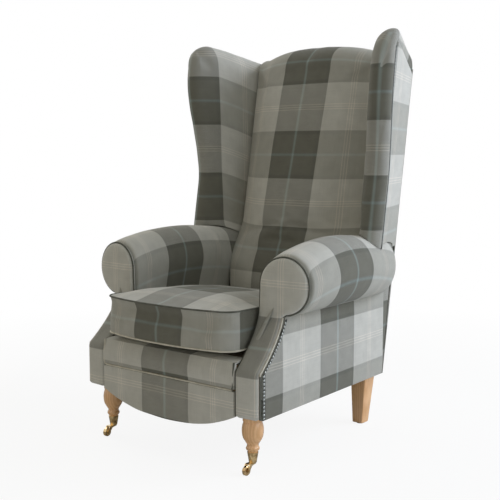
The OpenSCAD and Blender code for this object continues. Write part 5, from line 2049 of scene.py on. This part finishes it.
@dataclass
class Studio:
    """A pale floor, soft lamps and the camera at the photograph's place."""

    camera_at: Triple = (1.786, -2.1635, 0.819)
    yaw: float = math.radians(40.0)
    pitch: float = math.radians(5.8)
    lens: float = 68.21
    sensor: float = 36.0
    floor_size: float = 12
    floor_fall: Triple = (0.4, 0.4, 0.4)
    floor_paint: Colour = (0.86, 0.86, 0.86, 1)
    room_light: Colour = (1.0, 1.0, 0.88, 1)
    room_strength: float = 0.235
    lamps: tuple[Lamp, ...] = (
        Lamp("window", (2.4, 2.0, 2.2), 0.6, 2.0, 76.0, (0.8, 0.86, 1.0)),
        Lamp("side", (3.2, 0.2, 1.5), 0.6, 2.2, 26.0, (0.88, 0.93, 1.0)),
        Lamp("ceiling", (0.2, -0.2, 3.4), 0.4, 2.6, 9.0, (1.0, 1.0, 1.0)),
        Lamp("front_fill", (-1.2, -3.4, 1.4), 0.5, 2.6, 9.5, (1.0, 0.8, 0.55)),
        Lamp("left_fill", (-2.6, 0.2, 2.6), 0.5, 2.0, 26.0, (1.0, 1.0, 1.0)),
    )

    def build(self) -> None:
        """Sets the stage."""
        self._camera()
        self._floor()
        self._lamps()
        self._world()
        bpy.context.scene.view_settings.view_transform = "Standard"

    @staticmethod
    def _stand(name: str, data: bpy.types.ID, at: Triple, look: Vector) -> bpy.types.Object:
        """Stands a camera or a lamp at a place, looking along a direction."""
        obj = linked(name, data)
        obj.location = at
        obj.rotation_mode = "QUATERNION"
        obj.rotation_quaternion = look.to_track_quat("-Z", "Y")
        return obj

    def _camera(self) -> None:
        """Stands the camera where the photograph was taken from."""
        data = bpy.data.cameras.new("camera")
        data.lens = self.lens
        data.sensor_width = self.sensor
        level = math.cos(self.pitch)
        look = Vector((-math.sin(self.yaw) * level, math.cos(self.yaw) * level, -math.sin(self.pitch)))
        bpy.context.scene.camera = self._stand("camera", data, self.camera_at, look)

    def _floor(self) -> None:
        """Lays a plain white floor that still takes a shadow."""
        bm = bmesh.new()
        bmesh.ops.create_grid(bm, x_segments=2, y_segments=2, size=self.floor_size)
        floor = mesh_object("floor", bm)
        g = Graph.of_material("floor_paint")
        inputs = {"Vector": g.place(self.floor_fall)}
        nearness = g.node("ShaderNodeTexGradient", {"gradient_type": "SPHERICAL"}, inputs)
        stops = [(0.05, (1, 1, 1, 1)), (0.6, (0.9, 0.9, 0.9, 1))]
        white = g.node("ShaderNodeValToRGB", {"stops": stops}, {"Fac": nearness}, "Color")
        paint = g.node("ShaderNodeBsdfDiffuse", {}, {"Color": self.floor_paint})
        glow = g.node("ShaderNodeEmission", {}, {})
        floor.data.materials.append(g.show(g.cover(g.ray("Is Camera Ray") * white, paint, glow)))

    def _lamps(self) -> None:
        """Hangs a cool window light behind on the right, and four softer lamps."""
        for lamp in self.lamps:
            data = bpy.data.lights.new(lamp.name, "AREA")
            data.shape = "SQUARE"
            data.size = lamp.size
            data.energy = lamp.power
            data.color = lamp.colour
            self._stand(lamp.name, data, lamp.at, Vector((0, 0, lamp.aim_h)) - Vector(lamp.at))

    def _world(self) -> None:
        """A white surround to the camera and in gloss, and a soft pale one to the light."""
        world = bpy.data.worlds.new("room")
        bpy.context.scene.world = world
        g = Graph(world)
        light = {"Color": self.room_light, "Strength": self.room_strength}
        soft = g.node("ShaderNodeBackground", {}, light)
        white = g.node("ShaderNodeBackground", {}, {"Color": (1, 1, 1, 1)})
        seen = g.ray("Is Camera Ray").either(g.ray("Is Glossy Ray"))
        g.show(g.cover(seen, soft, white))


def main() -> None:
    """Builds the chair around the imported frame."""
    logging.basicConfig(level=logging.INFO, format="%(message)s")
    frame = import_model()
    Studio().build()
    CarriedNodes().build(frame["nodes"])
    shop = Workshop()
    for part in (SeatCushion(), InsideBack(), ArmPad(), WingPad(), OutsidePanels(), ArmFacing(),
                 FrontBorder(), Legs()):
        part.build(shop)
    LOG.info("%d new pieces", shop.count)


if __name__ == "__main__":
    main()
